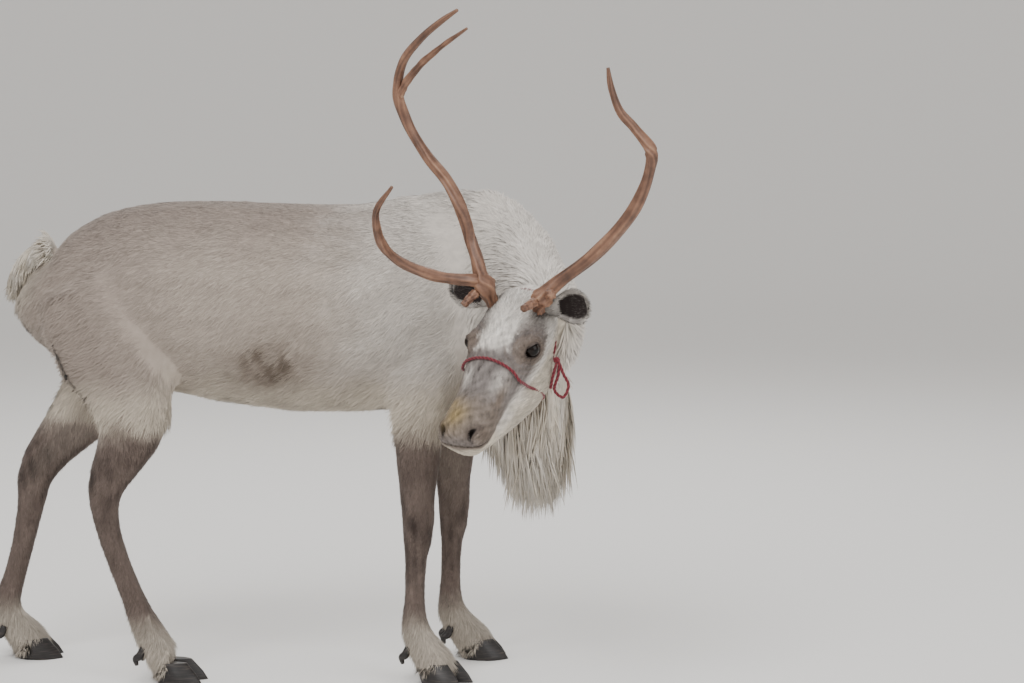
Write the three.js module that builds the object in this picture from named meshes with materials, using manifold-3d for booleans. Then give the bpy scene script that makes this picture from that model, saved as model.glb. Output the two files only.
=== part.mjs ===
// A life-size standing reindeer in its pale winter coat, with bare antlers and a red cord halter.
// It faces +X and has turned its neck to its right, so that its head hangs towards -Y.
// Millimetres, +Z up. The ground is Z = 0 and the origin is under the middle of its box.
import * as THREE from "three";
import { mergeVertices } from "three/addons/utils/BufferGeometryUtils.js";
import Module from "manifold-3d";

const wasm = await Module();
wasm.setup();

const GAP = 0.3; // left between neighbouring pieces
const rad = THREE.MathUtils.degToRad;
const V = (x, y, z) => new THREE.Vector3(x, y, z);
const group = new THREE.Group();

const coat = { color: 0xcfc6bc, roughness: 0.95, metalness: 0 };
const cream = { color: 0xd9cfbd, roughness: 0.95, metalness: 0 };
const shank = { color: 0x8d8079, roughness: 0.95, metalness: 0 };
const antler = { color: 0x8a5a3c, roughness: 0.6, metalness: 0 };
const horn = { color: 0x2b2625, roughness: 0.45, metalness: 0 };
const eyeball = { color: 0x14100f, roughness: 0.08, metalness: 0 };
const cord = { color: 0xa8132b, roughness: 0.8, metalness: 0 };

// Solids and meshes

function solidOf(geometry) {
  const bare = geometry.clone();
  for (const name of ["normal", "uv"]) bare.deleteAttribute(name);
  const merged = mergeVertices(bare, 1e-3);
  return new wasm.Manifold(
    new wasm.Mesh({
      numProp: 3,
      vertProperties: merged.attributes.position.array,
      triVerts: new Uint32Array(merged.index.array),
    }),
  );
}

function largest(solid) {
  const pieces = solid.decompose();
  return pieces.reduce((a, b) => (b.volume() > a.volume() ? b : a));
}

const unionOf = (solids) => wasm.Manifold.union(solids);

function addNode(name, solid, look) {
  const mesh = largest(solid).getMesh();
  const corners = new Float32Array(mesh.numVert * 3);
  for (let i = 0; i < mesh.numVert; i++)
    corners.set(mesh.vertProperties.subarray(i * mesh.numProp, i * mesh.numProp + 3), i * 3);
  const geometry = new THREE.BufferGeometry();
  geometry.setAttribute("position", new THREE.BufferAttribute(corners, 3));
  geometry.setIndex(new THREE.BufferAttribute(mesh.triVerts, 1));
  geometry.computeVertexNormals();
  const made = new THREE.Mesh(geometry, new THREE.MeshStandardMaterial(look));
  made.name = name;
  group.add(made);
}

// Joins rings of points into one closed skin: capped at both ends, or closed on itself.
function skinOver(rings, closed) {
  const sides = rings[0].length;
  const count = rings.length;
  const points = rings.flat();
  const faces = [];
  for (let i = 0; i < (closed ? count : count - 1); i++)
    for (let j = 0; j < sides; j++) {
      const next = ((i + 1) % count) * sides;
      const k = (j + 1) % sides;
      const [a, b, c, d] = [i * sides + j, i * sides + k, next + k, next + j];
      faces.push(a, b, c, a, c, d);
    }
  if (!closed) {
    const middle = (ring) => ring.reduce((sum, p) => sum.add(p), V(0, 0, 0)).divideScalar(sides);
    points.push(middle(rings[0]), middle(rings[count - 1]));
    const [first, last] = [points.length - 2, points.length - 1];
    for (let j = 0; j < sides; j++) {
      const k = (j + 1) % sides;
      faces.push(first, k, j, last, (count - 1) * sides + j, (count - 1) * sides + k);
    }
  }
  return new THREE.BufferGeometry().setFromPoints(points).setIndex(faces);
}

// Rings round a smooth line through stations [x, y, z, half width, half height above, half height
// below]. The width runs along `left`, which turns to `leftEnd`. A square below 1 flattens the sides.
function ringsAlong(stations, { sides, steps, left, leftEnd = left, grow = 0, square = 1, closed = false }) {
  const line = new THREE.CatmullRomCurve3(stations.map((s) => V(s[0], s[1], s[2])), closed);
  const size = new THREE.CatmullRomCurve3(stations.map((s) => V(s[3], s[4], s[5] ?? s[4])), closed);
  const power = (x) => Math.sign(x) * Math.abs(x) ** square;
  const rings = [];
  for (let i = 0; i < (closed ? steps : steps + 1); i++) {
    const t = i / steps;
    const centre = line.getPoint(t);
    const tangent = line.getTangent(t);
    const side = left.clone().lerp(leftEnd, t);
    side.addScaledVector(tangent, -side.dot(tangent)).normalize();
    const up = tangent.clone().cross(side);
    const half = size.getPoint(t);
    const ring = [];
    for (let j = 0; j < sides; j++) {
      const turn = (j / sides) * 2 * Math.PI;
      const [c, s] = [power(Math.cos(turn)), power(Math.sin(turn))];
      const height = (s > 0 ? half.y : half.z) + grow;
      ring.push(centre.clone().addScaledVector(side, c * (half.x + grow)).addScaledVector(up, s * height));
    }
    rings.push(ring);
  }
  return rings;
}

const loft = (stations, options) => skinOver(ringsAlong(stations, options), options.closed);
const loftSolid = (stations, options) => solidOf(loft(stations, options));

function ellipsoid(centre, radii, matrix) {
  const ball = new THREE.SphereGeometry(1, 10, 7);
  ball.scale(radii[0], radii[1], radii[2]).translate(centre[0], centre[1], centre[2]);
  return solidOf(matrix ? ball.applyMatrix4(matrix) : ball);
}

// Keeps what lies behind a plane, less half the gap. The plane passes through `at`.
const behind = (solid, at, normal) =>
  solid.trimByPlane(normal.clone().negate().toArray(), -normal.dot(at) + GAP / 2);
const beyond = (solid, at, normal) => solid.trimByPlane(normal.toArray(), normal.dot(at) + GAP / 2);

// A box whose near face, less half the gap, is the cut between two neighbouring pieces.
function blockBeyond({ at, normal, wide, high, deep }, shrink) {
  const up = Math.abs(normal.z) > 0.9 ? V(1, 0, 0) : V(0, 0, 1);
  const side = up.clone().cross(normal).normalize();
  const rise = normal.clone().cross(side);
  const pose = new THREE.Matrix4().makeBasis(side, rise, normal).setPosition(at);
  const block = new THREE.BoxGeometry(wide, high, deep).translate(0, 0, deep / 2 + shrink);
  return solidOf(block.applyMatrix4(pose));
}

const LEFT = V(0, 1, 0);

// Torso: rump, barrel and chest. [x, top, bottom, half width, height of the widest place]
const TORSO = [
  [-552, 915, 800, 40, 860],
  [-528, 944, 735, 98, 842],
  [-470, 978, 670, 136, 822],
  [-383, 1008, 632, 158, 805],
  [-270, 1020, 605, 170, 790],
  [-128, 1020, 578, 182, 778],
  [20, 1014, 560, 188, 765],
  [150, 1013, 560, 184, 762],
  [255, 1026, 566, 172, 770],
  [345, 1046, 580, 152, 790],
  [415, 1044, 618, 124, 815],
  [468, 1006, 676, 88, 830],
  [496, 936, 750, 42, 840],
].map(([x, top, bottom, wide, mid]) => [x, 0, mid, wide, top - mid, mid - bottom]);
const torso = (grow = 0) => loftSolid(TORSO, { sides: 20, steps: 22, left: LEFT, grow });

// Neck: from the chest round to the right, to the back of the head
const NECK = [
  [290, 0, 832, 118, 206, 185],
  [395, -10, 828, 122, 214, 185],
  [460, -70, 812, 112, 190, 172],
  [502, -165, 788, 104, 158, 150],
  [526, -262, 772, 98, 118, 128],
  [516, -330, 766, 80, 86, 98],
];
const NECK_LEFT = V(0.95, -0.3, 0); // at the head's end
const neck = (grow = 0) =>
  loftSolid(NECK, { sides: 18, steps: 12, left: LEFT, leftEnd: NECK_LEFT, grow });

// Head, in its own frame: +X along the face to the nose, +Y its left, +Z out of the forehead.
// Its origin is between the antlers.
const HEAD_AT = V(474, -372, 831);
const HEAD_TURN = -123; // of the face from straight ahead, in degrees
const HEAD_NOD = 50;
const HEAD_TILT = -6;
const headPose = new THREE.Matrix4()
  .makeRotationFromEuler(new THREE.Euler(rad(HEAD_TILT), rad(HEAD_NOD), rad(HEAD_TURN), "ZYX"))
  .setPosition(HEAD_AT);
const inHead = (x, y, z) => V(x, y, z).applyMatrix4(headPose);
const alongHead = (x, y, z) => V(x, y, z).transformDirection(headPose);

// [x, height of the widest place, half width, height above it, height below it]
const SKULL = [
  [-58, -78, 34, 26, 34],
  [-42, -72, 56, 48, 66],
  [-5, -64, 71, 62, 84],
  [50, -60, 80, 63, 88],
  [100, -52, 80, 54, 90],
  [150, -47, 70, 43, 76],
  [205, -42, 57, 36, 56],
  [250, -36, 55, 37, 50],
  [290, -32, 56, 38, 42],
  [316, -33, 51, 36, 34],
  [331, -36, 38, 26, 26],
  [338, -38, 16, 12, 12],
].map(([x, mid, wide, above, below]) => [x, 0, mid, wide, above, below]);
const JAW = [
  [0, -92, 42, 24, 34],
  [60, -106, 70, 38, 50],
  [110, -110, 82, 42, 60],
  [160, -105, 76, 40, 60],
  [205, -96, 62, 34, 54],
  [250, -86, 50, 26, 42],
  [292, -74, 39, 20, 28],
  [316, -64, 32, 14, 22],
  [328, -60, 24, 10, 16],
  [334, -58, 12, 6, 8],
].map(([x, mid, wide, above, below]) => [x, 0, mid, wide, above, below]);
const SQUARE = 0.92; // how far the ovals of the head are drawn out at their corners

const EYE = V(92, 66, -31);
const EYE_R = 17;
const LID = { long: 17.5, high: 13, r: 3.4, lift: 1.5, sides: 16 };
const BROW = { at: [84, 63, -27], radii: [34, 19, 25] };
const WING = { at: [308, 30, -18], radii: [22, 20, 22] }; // of the nostril
const NOSTRIL = { at: [316, 29, -8], radii: [13, 6, 9], turn: 35 };
const MOUTH_R = 2.2;

const mirrored = (point, side) => V(point.x, side * point.y, point.z);

function eyeBall(side, grow = 0) {
  const ball = new THREE.SphereGeometry(EYE_R + grow, 14, 8);
  const at = mirrored(EYE, side);
  return solidOf(ball.translate(at.x, at.y, at.z).applyMatrix4(headPose));
}

// The way that an eye looks, along its slit and across it, in the head's frame
function eyeAxes(side) {
  const out = V(0.28, side * 0.93, 0.22).normalize();
  const along = V(1, 0, -0.42).addScaledVector(out, -V(1, 0, -0.42).dot(out)).normalize();
  return { out, along, across: out.clone().cross(along), at: mirrored(EYE, side) };
}

// The rim of both lids: an almond laid on the ball of the eye, with its corner towards the nose.
function eyelids(side) {
  const { out, along, across, at } = eyeAxes(side);
  const rim = [];
  for (let i = 0; i < LID.sides; i++) {
    const turn = (i / LID.sides) * 2 * Math.PI;
    const reach = LID.long * (Math.cos(turn) > 0 ? 1.15 : 0.95);
    const flat = along.clone().multiplyScalar(reach * Math.cos(turn));
    flat.addScaledVector(across, LID.high * Math.sin(turn));
    const lift = Math.sqrt(Math.max(20, (EYE_R + LID.lift) ** 2 - flat.lengthSq()));
    const point = at.clone().add(flat).addScaledVector(out, lift);
    rim.push([point.x, point.y, point.z, LID.r, LID.r]);
  }
  const tube = loft(rim, { sides: 5, steps: LID.sides, left: out, closed: true });
  return solidOf(tube.applyMatrix4(headPose));
}

// The opening between the lids
function eyeOpening(side) {
  const { out, along, across, at } = eyeAxes(side);
  const front = at.clone().addScaledVector(out, EYE_R + 8);
  const pose = new THREE.Matrix4().makeBasis(along, across, out).setPosition(front);
  return ellipsoid([0, 0, 0], [LID.long - 3, LID.high - 2.5, 20], headPose.clone().multiply(pose));
}

// A cut along both lips, from one corner of the mouth round the front to the other.
function mouthCut() {
  const line = [
    [240, 50, -74],
    [268, 48, -68],
    [296, 44, -60],
    [320, 32, -53],
    [333, 16, -50],
  ];
  const both = [...line, [338, 0, -48], ...line.map(([x, y, z]) => [x, -y, z]).reverse()];
  const stations = both.map(([x, y, z]) => [x, y, z, MOUTH_R, MOUTH_R]);
  return solidOf(loft(stations, { sides: 5, steps: 20, left: V(0, 0, 1) }).applyMatrix4(headPose));
}

function headFlesh(grow = 0) {
  const parts = [
    solidOf(loft(SKULL, { sides: 16, steps: 20, left: LEFT, grow, square: SQUARE }).applyMatrix4(headPose)),
    solidOf(loft(JAW, { sides: 10, steps: 12, left: LEFT, grow, square: SQUARE }).applyMatrix4(headPose)),
  ];
  for (const side of [1, -1]) {
    for (const { at: [x, y, z], radii } of [BROW, WING])
      parts.push(ellipsoid([x, side * y, z], radii.map((r) => r + grow), headPose));
    parts.push(eyelids(side));
  }
  return unionOf(parts);
}

function nostril(side) {
  const [x, y, z] = NOSTRIL.at;
  const pose = headPose
    .clone()
    .multiply(new THREE.Matrix4().makeTranslation(x, side * y, z))
    .multiply(new THREE.Matrix4().makeRotationY(rad(NOSTRIL.turn)));
  return ellipsoid([0, 0, 0], NOSTRIL.radii, pose);
}

// Ears: a leaf with a scooped front. In the head's frame, from the root along `along`.
const EAR_ROOT = { left: V(-12, 56, -36), right: V(-12, -60, -38) };
const EAR_ALONG = { left: V(-0.1, 0.95, 0.1), right: V(-0.12, -0.94, 0.28) };
const EAR_OPEN = { left: V(0.75, 0.1, 0.62), right: V(0.66, -0.1, 0.62) };
const EAR_LONG = 97;
const EAR = [ // share of the length, half width, half thickness
  [0, 15, 14],
  [0.18, 18, 15],
  [0.42, 30, 15],
  [0.65, 37, 13],
  [0.86, 30, 10],
  [0.97, 15, 6],
  [1, 5, 3],
];
const CUP = [ // the scoop, in the same way
  [0.3, 5, 5],
  [0.42, 19, 12],
  [0.62, 29, 14],
  [0.8, 25, 12],
  [0.92, 11, 6],
];
const CUP_LIFT = 11; // of the scoop's middle above the ear's own

function ear(name, grow = 0) {
  const along = EAR_ALONG[name].clone().normalize();
  const open = EAR_OPEN[name].clone();
  open.addScaledVector(along, -open.dot(along)).normalize();
  const across = open.clone().cross(along);
  const station = (lift, extra) => ([share, wide, thick]) => {
    const at = EAR_ROOT[name].clone().addScaledVector(along, share * EAR_LONG).addScaledVector(open, lift);
    return [at.x, at.y, at.z, wide + extra, thick + extra];
  };
  const leaf = loft(EAR.map(station(0, grow)), { sides: 12, steps: 10, left: across });
  const scoop = loft(CUP.map(station(CUP_LIFT, -grow)), { sides: 10, steps: 6, left: across });
  const [outer, inner] = [leaf, scoop].map((g) => solidOf(g.applyMatrix4(headPose)));
  return outer.subtract(inner);
}

// Antlers, in the head's frame: [back, outward, up, radius] from the head's origin. The roots sink
// into the skull and carry a rough burr. Each beam is parted where it forks or kinks.
const BEAMS = {
  right: [
    [-5, 48, -30, 13],
    [0, 54, -5, 14],
    [8, 58, 24, 20],
    [22, 68, 38, 15],
    [45, 79, 52, 13],
    [85, 104, 75, 12.5],
    [128, 128, 117, 12],
    [170, 167, 148, 11.5],
    [212, 222, 170, 11],
    [255, 267, 211, 11],
    [295, 286, 262, 10],
    [325, 265, 318, 8.5],
    [345, 209, 374, 7.5],
    [355, 148, 422, 6],
    [360, 98, 456, 3],
  ],
  left: [
    [-5, 48, -30, 13],
    [0, 54, -10, 14],
    [8, 60, -2, 20],
    [22, 73, 8, 16],
    [45, 96, 18, 13.5],
    [85, 157, 50, 13],
    [122, 210, 88, 12.5],
    [165, 260, 136, 12],
    [205, 291, 192, 11],
    [228, 298, 229, 11],
    [262, 258, 253, 9],
    [285, 225, 272, 8],
    [315, 204, 300, 6.5],
    [345, 195, 330, 3],
  ],
};
const BREAK = { right: 10 / 14, left: 9.35 / 13 }; // share of the beam below the parting
const TINES = {
  right_antler_bez_tine: ["right", [
    [14, 60, 26, 11],
    [8, 74, 40, 12],
    [0, 107, 51, 11.5],
    [-12, 153, 74, 11],
    [-22, 197, 120, 10],
    [-25, 216, 166, 9.5],
    [-20, 214, 222, 8.5],
    [-5, 203, 270, 6.5],
    [20, 157, 321, 3],
  ]],
  right_antler_brow_stub: ["right", [
    [8, 64, 18, 8],
    [-12, 72, 24, 9],
    [-32, 80, 27, 8],
    [-45, 85, 27, 7],
  ]],
  right_antler_fork_tine: ["right", [
    [290, 282, 256, 8],
    [302, 265, 280, 8],
    [320, 219, 324, 7],
    [335, 163, 365, 5.5],
    [345, 84, 420, 2.5],
  ]],
  left_antler_brow_stub: ["left", [
    [6, 60, 2, 9],
    [-16, 56, 18, 9],
    [-40, 50, 32, 7],
  ]],
  left_antler_bez_stub: ["left", [
    [18, 72, 8, 9],
    [8, 88, 22, 10],
    [0, 100, 32, 8],
  ]],
};
const SIDE = { left: 1, right: -1 };

function antlerCurve(stations, side) {
  return stations.map(([back, out, up, r]) => {
    const at = inHead(-back, SIDE[side] * out, up);
    return [at.x, at.y, at.z, r, r];
  });
}

function antlerSolid(stations, side, grow, options) {
  return loftSolid(antlerCurve(stations, side), { left: alongHead(0.9, 0.15, -0.4), grow, ...options });
}
const beam = (side, grow = 0) => antlerSolid(BEAMS[side], side, grow, { sides: 7, steps: 26 });
const tine = (name, grow = 0) =>
  antlerSolid(TINES[name][1], TINES[name][0], grow, { sides: 6, steps: 2 * TINES[name][1].length });

// The two lengths of a beam, below and above its parting
function beamLengths(side) {
  const curve = new THREE.CatmullRomCurve3(antlerCurve(BEAMS[side], side).map(([x, y, z]) => V(x, y, z)));
  const at = curve.getPoint(BREAK[side]);
  const normal = curve.getTangent(BREAK[side]);
  const block = (shrink) => blockBeyond({ at, normal, wide: 400, high: 400, deep: 400 }, shrink);
  const whole = beam(side);
  return [whole.subtract(block(-GAP / 2)), whole.intersect(block(GAP / 2))];
}

// Legs: [x, height, half width across, half depth in front, half depth behind]. `y` is the leg's
// distance from the midline, and `toe` turns the foot.
const FORELEG = [
  [34, 800, 40, 70, 80],
  [30, 700, 58, 100, 98],
  [16, 620, 62, 84, 84],
  [6, 545, 54, 60, 60],
  [4, 465, 45, 49, 50],
  [2, 385, 38, 40, 41],
  [3, 320, 36, 39, 38],
  [-2, 262, 27, 28, 29],
  [-4, 190, 25, 26, 27],
  [-4, 140, 28, 27, 30],
  [-2, 112, 34, 32, 36],
];
const HINDLEG_FORWARD = [
  [-432, 850, 55, 95, 85],
  [-395, 740, 74, 130, 122],
  [-330, 625, 70, 112, 105],
  [-328, 540, 54, 76, 80],
  [-355, 470, 40, 54, 58],
  [-380, 415, 35, 40, 48],
  [-384, 352, 28, 30, 34],
  [-360, 262, 26, 27, 29],
  [-325, 172, 27, 27, 30],
  [-298, 112, 34, 33, 36],
];
const HINDLEG_BACK = [
  [-440, 850, 55, 90, 80],
  [-430, 740, 74, 122, 110],
  [-420, 640, 70, 108, 92],
  [-470, 548, 54, 78, 72],
  [-532, 468, 40, 54, 54],
  [-568, 408, 35, 42, 48],
  [-580, 345, 29, 33, 36],
  [-600, 255, 26, 28, 30],
  [-622, 172, 27, 27, 30],
  [-640, 112, 34, 33, 36],
];
const FOOT = [ // forward of the fetlock, height, half width, in front, behind
  [18, 80, 36, 34, 38],
  [40, 52, 43, 40, 42],
  [52, 30, 47, 44, 42],
  [56, 18, 46, 44, 40],
];
const ELBOW = 560; // height above which the legs draw together
const atLeg = (dx, profile) => profile.map(([x, ...rest]) => [x + dx, ...rest]);
const LEGS = {
  right_foreleg: { y: -112, toe: -28, cut: 528, joint: 318, profile: atLeg(271, FORELEG) },
  left_foreleg: { y: 112, toe: 6, cut: 528, joint: 318, profile: atLeg(342, FORELEG) },
  right_hindleg: { y: -118, toe: -8, cut: 548, joint: 405, profile: HINDLEG_FORWARD },
  left_hindleg: { y: 118, toe: 8, cut: 548, joint: 400, profile: HINDLEG_BACK },
};

function legStations({ y, toe, profile }) {
  const inward = (z) => (z > ELBOW ? y * 0.92 : y);
  const upper = profile.map(([x, z, wide, front, back]) => [x, inward(z), z, wide, front, back]);
  const [fetlock] = profile[profile.length - 1];
  const foot = FOOT.map(([forward, z, wide, front, back]) => [
    fetlock + forward * Math.cos(rad(toe)),
    y + forward * Math.sin(rad(toe)),
    z,
    wide,
    front,
    back,
  ]);
  return [...upper, ...foot];
}
const legFlesh = (leg) => loftSolid(legStations(leg), { sides: 10, steps: 20, left: LEFT });

// Hooves: two broad crescents to a foot, and a pair of dewclaws behind the fetlock.
const HOOF = {
  long: 96, wide: 44, high: 44, apart: 27, splay: 9, lean: 22, forward: 74, taper: 0.42, curl: 7,
};
const HOOF_RINGS = [ // height share, size share
  [0, 1],
  [0.4, 0.96],
  [1, 0.74],
];
const DEWCLAW = { apart: 30, back: 30, from: 78, to: 30, r: 11 };

// A hoof's outline seen from above: round at the heel, drawn to a toe that curls inwards.
function hoofRing(share, size, side, grow) {
  const ring = [];
  const sides = 10;
  for (let j = 0; j < sides; j++) {
    const turn = (-j / sides) * 2 * Math.PI;
    const forward = Math.cos(turn);
    const ahead = Math.max(0, forward) ** 2;
    const x = (HOOF.long / 2) * forward * size - HOOF.lean * share;
    const wide = (HOOF.wide / 2) * (1 - HOOF.taper * ahead) * size;
    const y = wide * Math.sin(turn) - side * HOOF.curl * ahead;
    const out = V(forward, Math.sin(turn), 0).normalize().multiplyScalar(grow);
    ring.push(V(x + out.x, y + out.y, HOOF.high * share + (share === 0 ? 0 : grow)));
  }
  return ring.reverse();
}

function footFrame({ y, toe, profile }, forward, across) {
  const [fetlock] = profile[profile.length - 1];
  const [c, s] = [Math.cos(rad(toe)), Math.sin(rad(toe))];
  return V(fetlock + forward * c - across * s, y + forward * s + across * c, 0);
}

function hoof(leg, side, grow = 0) {
  const rings = HOOF_RINGS.map(([share, size]) => hoofRing(share, size, side, grow));
  const at = footFrame(leg, HOOF.forward, side * HOOF.apart);
  const shape = skinOver(rings).rotateZ(rad(leg.toe + side * HOOF.splay)).translate(at.x, at.y, 0);
  return solidOf(shape);
}

function dewclaw(leg, side, grow = 0) {
  const [top, low] = [-4, -DEWCLAW.back].map((forward) => footFrame(leg, forward, side * DEWCLAW.apart));
  const r = DEWCLAW.r + grow;
  const stations = [
    [top.x, top.y, DEWCLAW.from, r * 0.8, r * 0.8],
    [(top.x + low.x) / 2, (top.y + low.y) / 2, DEWCLAW.from - 18, r, r],
    [low.x, low.y, DEWCLAW.to + 14, r * 0.9, r * 0.8],
    [low.x + 2, low.y, DEWCLAW.to, r * 0.5, r * 0.4],
  ];
  return loftSolid(stations, { sides: 6, steps: 4, left: LEFT });
}

// Locks of long hair: flat, tapered and bent, with the root sunk in a plain core.
const LOCK = { sides: 4, steps: 4, thin: 0.34, sunk: 14, places: 36 };
const LOCK_BEND = { out: 0.34, down: 0.2 }; // shares of its length
const LOCK_TIP = { out: 0.27, down: 0.88 };
let seed = 7;
function random(low, high) {
  seed = (seed * 16807) % 2147483647;
  return low + ((high - low) * seed) / 2147483647;
}

function lock(root, out, fall, long, wide) {
  const start = root.clone().addScaledVector(out, -LOCK.sunk);
  const reach = (from, way) =>
    from.clone().addScaledVector(out, long * way.out).addScaledVector(fall, long * way.down);
  const bend = reach(start, LOCK_BEND);
  const tip = reach(root, LOCK_TIP);
  const flat = out.clone().cross(fall).normalize();
  const [r, t] = [wide / 2, (wide / 2) * LOCK.thin];
  const stations = [
    [...start.toArray(), r * 0.7, t],
    [...start.clone().lerp(bend, 0.6).toArray(), r, t],
    [...bend.clone().lerp(tip, 0.45).toArray(), r * 0.8, t * 0.8],
    [...tip.toArray(), 1.2, 0.8],
  ];
  return loftSolid(stations, { sides: LOCK.sides, steps: LOCK.steps, left: flat });
}

// Locks over the lower part of a core, in rows along it. `drop` is the way that the hair falls.
function locksOn(core, { rows, around, from, to, turns, long, wide, drop }) {
  const rings = ringsAlong(core, { sides: LOCK.places, steps: rows, left: LEFT, leftEnd: LEFT });
  const made = [];
  for (let i = from; i <= to; i++) {
    const ring = rings[i];
    const middle = ring.reduce((sum, p) => sum.add(p), V(0, 0, 0)).divideScalar(ring.length);
    for (let j = 0; j < around; j++) {
      const share = (j + random(0.3, 0.7)) / around;
      const angle = turns[0] + (turns[1] - turns[0]) * share;
      const root = ring[Math.round((angle / 360 + 1) * LOCK.places) % LOCK.places];
      const out = root.clone().sub(middle).normalize();
      const fall = V(random(-0.12, 0.12), random(-0.12, 0.12), 0).add(drop).normalize();
      made.push(lock(root, out, fall, random(...long), random(...wide)));
    }
  }
  return made;
}

// Tail: short and bushy, held a little away from the rump.
const TAIL = [
  [-500, 0, 905, 36, 26, 26],
  [-532, 0, 897, 36, 24, 26],
  [-560, 0, 880, 30, 20, 24],
  [-578, 0, 856, 18, 12, 16],
  [-584, 0, 838, 7, 5, 6],
];
const TAIL_LOCKS = {
  rows: 5, around: 2, from: 2, to: 4, turns: [-25, 205], long: [48, 62], wide: [26, 34],
  drop: V(-0.45, 0, -0.9),
};
const tailSolid = () =>
  unionOf([loftSolid(TAIL, { sides: 10, steps: 8, left: LEFT }), ...locksOn(TAIL, TAIL_LOCKS)]);

// Throat mane: hangs along the underside of the neck, from the throat to the breast.
const MANE = [
  [492, -345, 632, 26, 80, 40],
  [510, -300, 622, 46, 80, 72],
  [522, -240, 620, 56, 80, 86],
  [514, -170, 628, 56, 80, 80],
  [480, -95, 644, 48, 80, 62],
  [436, -45, 655, 34, 70, 46],
];
const MANE_LOCKS = {
  rows: 6, around: 5, from: 1, to: 6, turns: [180, 360], long: [84, 112], wide: [78, 92],
  drop: V(0.02, 0, -1),
};
const maneSolid = () =>
  unionOf([
    loftSolid(MANE, { sides: 12, steps: 10, left: LEFT, leftEnd: LEFT }),
    ...locksOn(MANE, MANE_LOCKS),
  ]);

// Halter of red cord, laid on the head: a noseband, a headstall that bends round behind the ears,
// and a bow at the left cheek.
const CORD_R = 3.4;
const CORD_LIFT = 1.6; // of the cord's middle above the skin
// `at` holds the cord's place along the head by the sine of its turn round it.
const NOSEBAND = { axis: -75, at: [[-1, 124], [-0.6, 130], [0, 146], [0.5, 158], [1, 143]], skew: 6 };
const HEADSTALL = { axis: -85, at: [[-1, 78], [-0.5, 62], [0, 18], [0.45, -38], [1, -47]], skew: 0 };
const WRAP_FROM = 165; // from the axis, outside the head and inside the trunk
const WRAP_POINTS = 24;

// A closed line laid on a surface round the head's long axis.
function wrapRound(surface, { axis, at, skew }) {
  const ray = new THREE.Raycaster();
  const points = [];
  for (let i = 0; i < WRAP_POINTS; i++) {
    const turn = (i / WRAP_POINTS) * 2 * Math.PI;
    const [c, s] = [Math.cos(turn), Math.sin(turn)];
    const after = Math.max(1, at.findIndex(([share]) => share >= s));
    const [[s0, x0], [s1, x1]] = [at[after - 1], at[after]];
    const x = x0 + ((x1 - x0) * (s - s0)) / (s1 - s0) + skew * c;
    const out = alongHead(0, c, s);
    ray.set(inHead(x, 0, axis).addScaledVector(out, WRAP_FROM), out.clone().negate());
    const hit = ray.intersectObject(surface)[0];
    points.push(hit.point.addScaledVector(out, CORD_LIFT));
  }
  return points;
}

// The bow: a loop and a loose end that hang from the knot. [x, y, z] from the knot.
const KNOT = inHead(62, 84, -108);
const KNOT_R = 7;
const BOW = {
  loop: [
    [0, 8, 4], [6, -6, -8], [14, -11, -28], [24, -12, -50], [13, -12, -74], [-4, -12, -60], [3, -12, -30],
  ],
  end: [[2, -2, -2], [-4, -16, -18], [-9, -17, -38], [-12, -14, -56]],
};

function cordSolid(points, plane, { closed, grow, steps, sides = 5 }) {
  const r = CORD_R + grow;
  const stations = points.map((p) => [p.x, p.y, p.z, r, r]);
  return loftSolid(stations, { sides, steps, left: plane, closed });
}

function meshOf(solid) {
  const made = solid.getMesh();
  const geometry = new THREE.BufferGeometry();
  geometry.setAttribute("position", new THREE.BufferAttribute(new Float32Array(made.vertProperties), 3));
  geometry.setIndex(new THREE.BufferAttribute(made.triVerts, 1));
  return new THREE.Mesh(geometry, new THREE.MeshBasicMaterial({ side: THREE.DoubleSide }));
}

// Assembly

const legs = Object.entries(LEGS);
const flesh = unionOf([torso(), neck(), headFlesh(), ...legs.map(([, leg]) => legFlesh(leg))]);
const surface = meshOf(flesh);

const nosePoints = wrapRound(surface, NOSEBAND);
const noseband = (grow = 0) =>
  cordSolid(nosePoints, alongHead(1, 0, 0), { closed: true, grow, steps: 26 });
const stallPoints = wrapRound(surface, HEADSTALL);
const headstall = (grow = 0) =>
  cordSolid(stallPoints, alongHead(0.9, 0, 0.4), { closed: true, grow, steps: 28 });

function bow(grow = 0) {
  const strand = (points, steps) => {
    const placed = points.map(([x, y, z]) => KNOT.clone().add(V(x, y, z)));
    return cordSolid(placed, V(0.3, 1, 0), { closed: false, grow, steps });
  };
  const knot = new THREE.SphereGeometry(KNOT_R + grow, 8, 6).translate(KNOT.x, KNOT.y - 3, KNOT.z);
  const loop = [...BOW.loop, BOW.loop[1]];
  return unionOf([strand(loop, 14), strand(BOW.end, 5), solidOf(knot)]);
}

const fixed = [
  beam("right", GAP),
  beam("left", GAP),
  ...Object.keys(TINES).map((name) => tine(name, GAP)),
  eyeBall(1, GAP),
  eyeBall(-1, GAP),
  ear("left", GAP),
  ear("right", GAP),
  ...legs.flatMap(([, leg]) => [1, -1].flatMap((side) => [hoof(leg, side, GAP), dewclaw(leg, side, GAP)])),
];
const cuts = [mouthCut(), nostril(1), nostril(-1), eyeOpening(1), eyeOpening(-1)];
const body = flesh.subtract(unionOf([...fixed, ...cuts]));

const HEAD_CUT = {
  at: inHead(-14, 0, -88),
  normal: alongHead(0.84, 0.05, 0.54),
  wide: 300,
  high: 360,
  deep: 500,
};
const NECK_CUT = { at: V(418, -20, 828), normal: V(0.93, -0.36, 0).normalize() };
const SHOULDER_X = 95;
const FLANK_X = -245;

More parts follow.
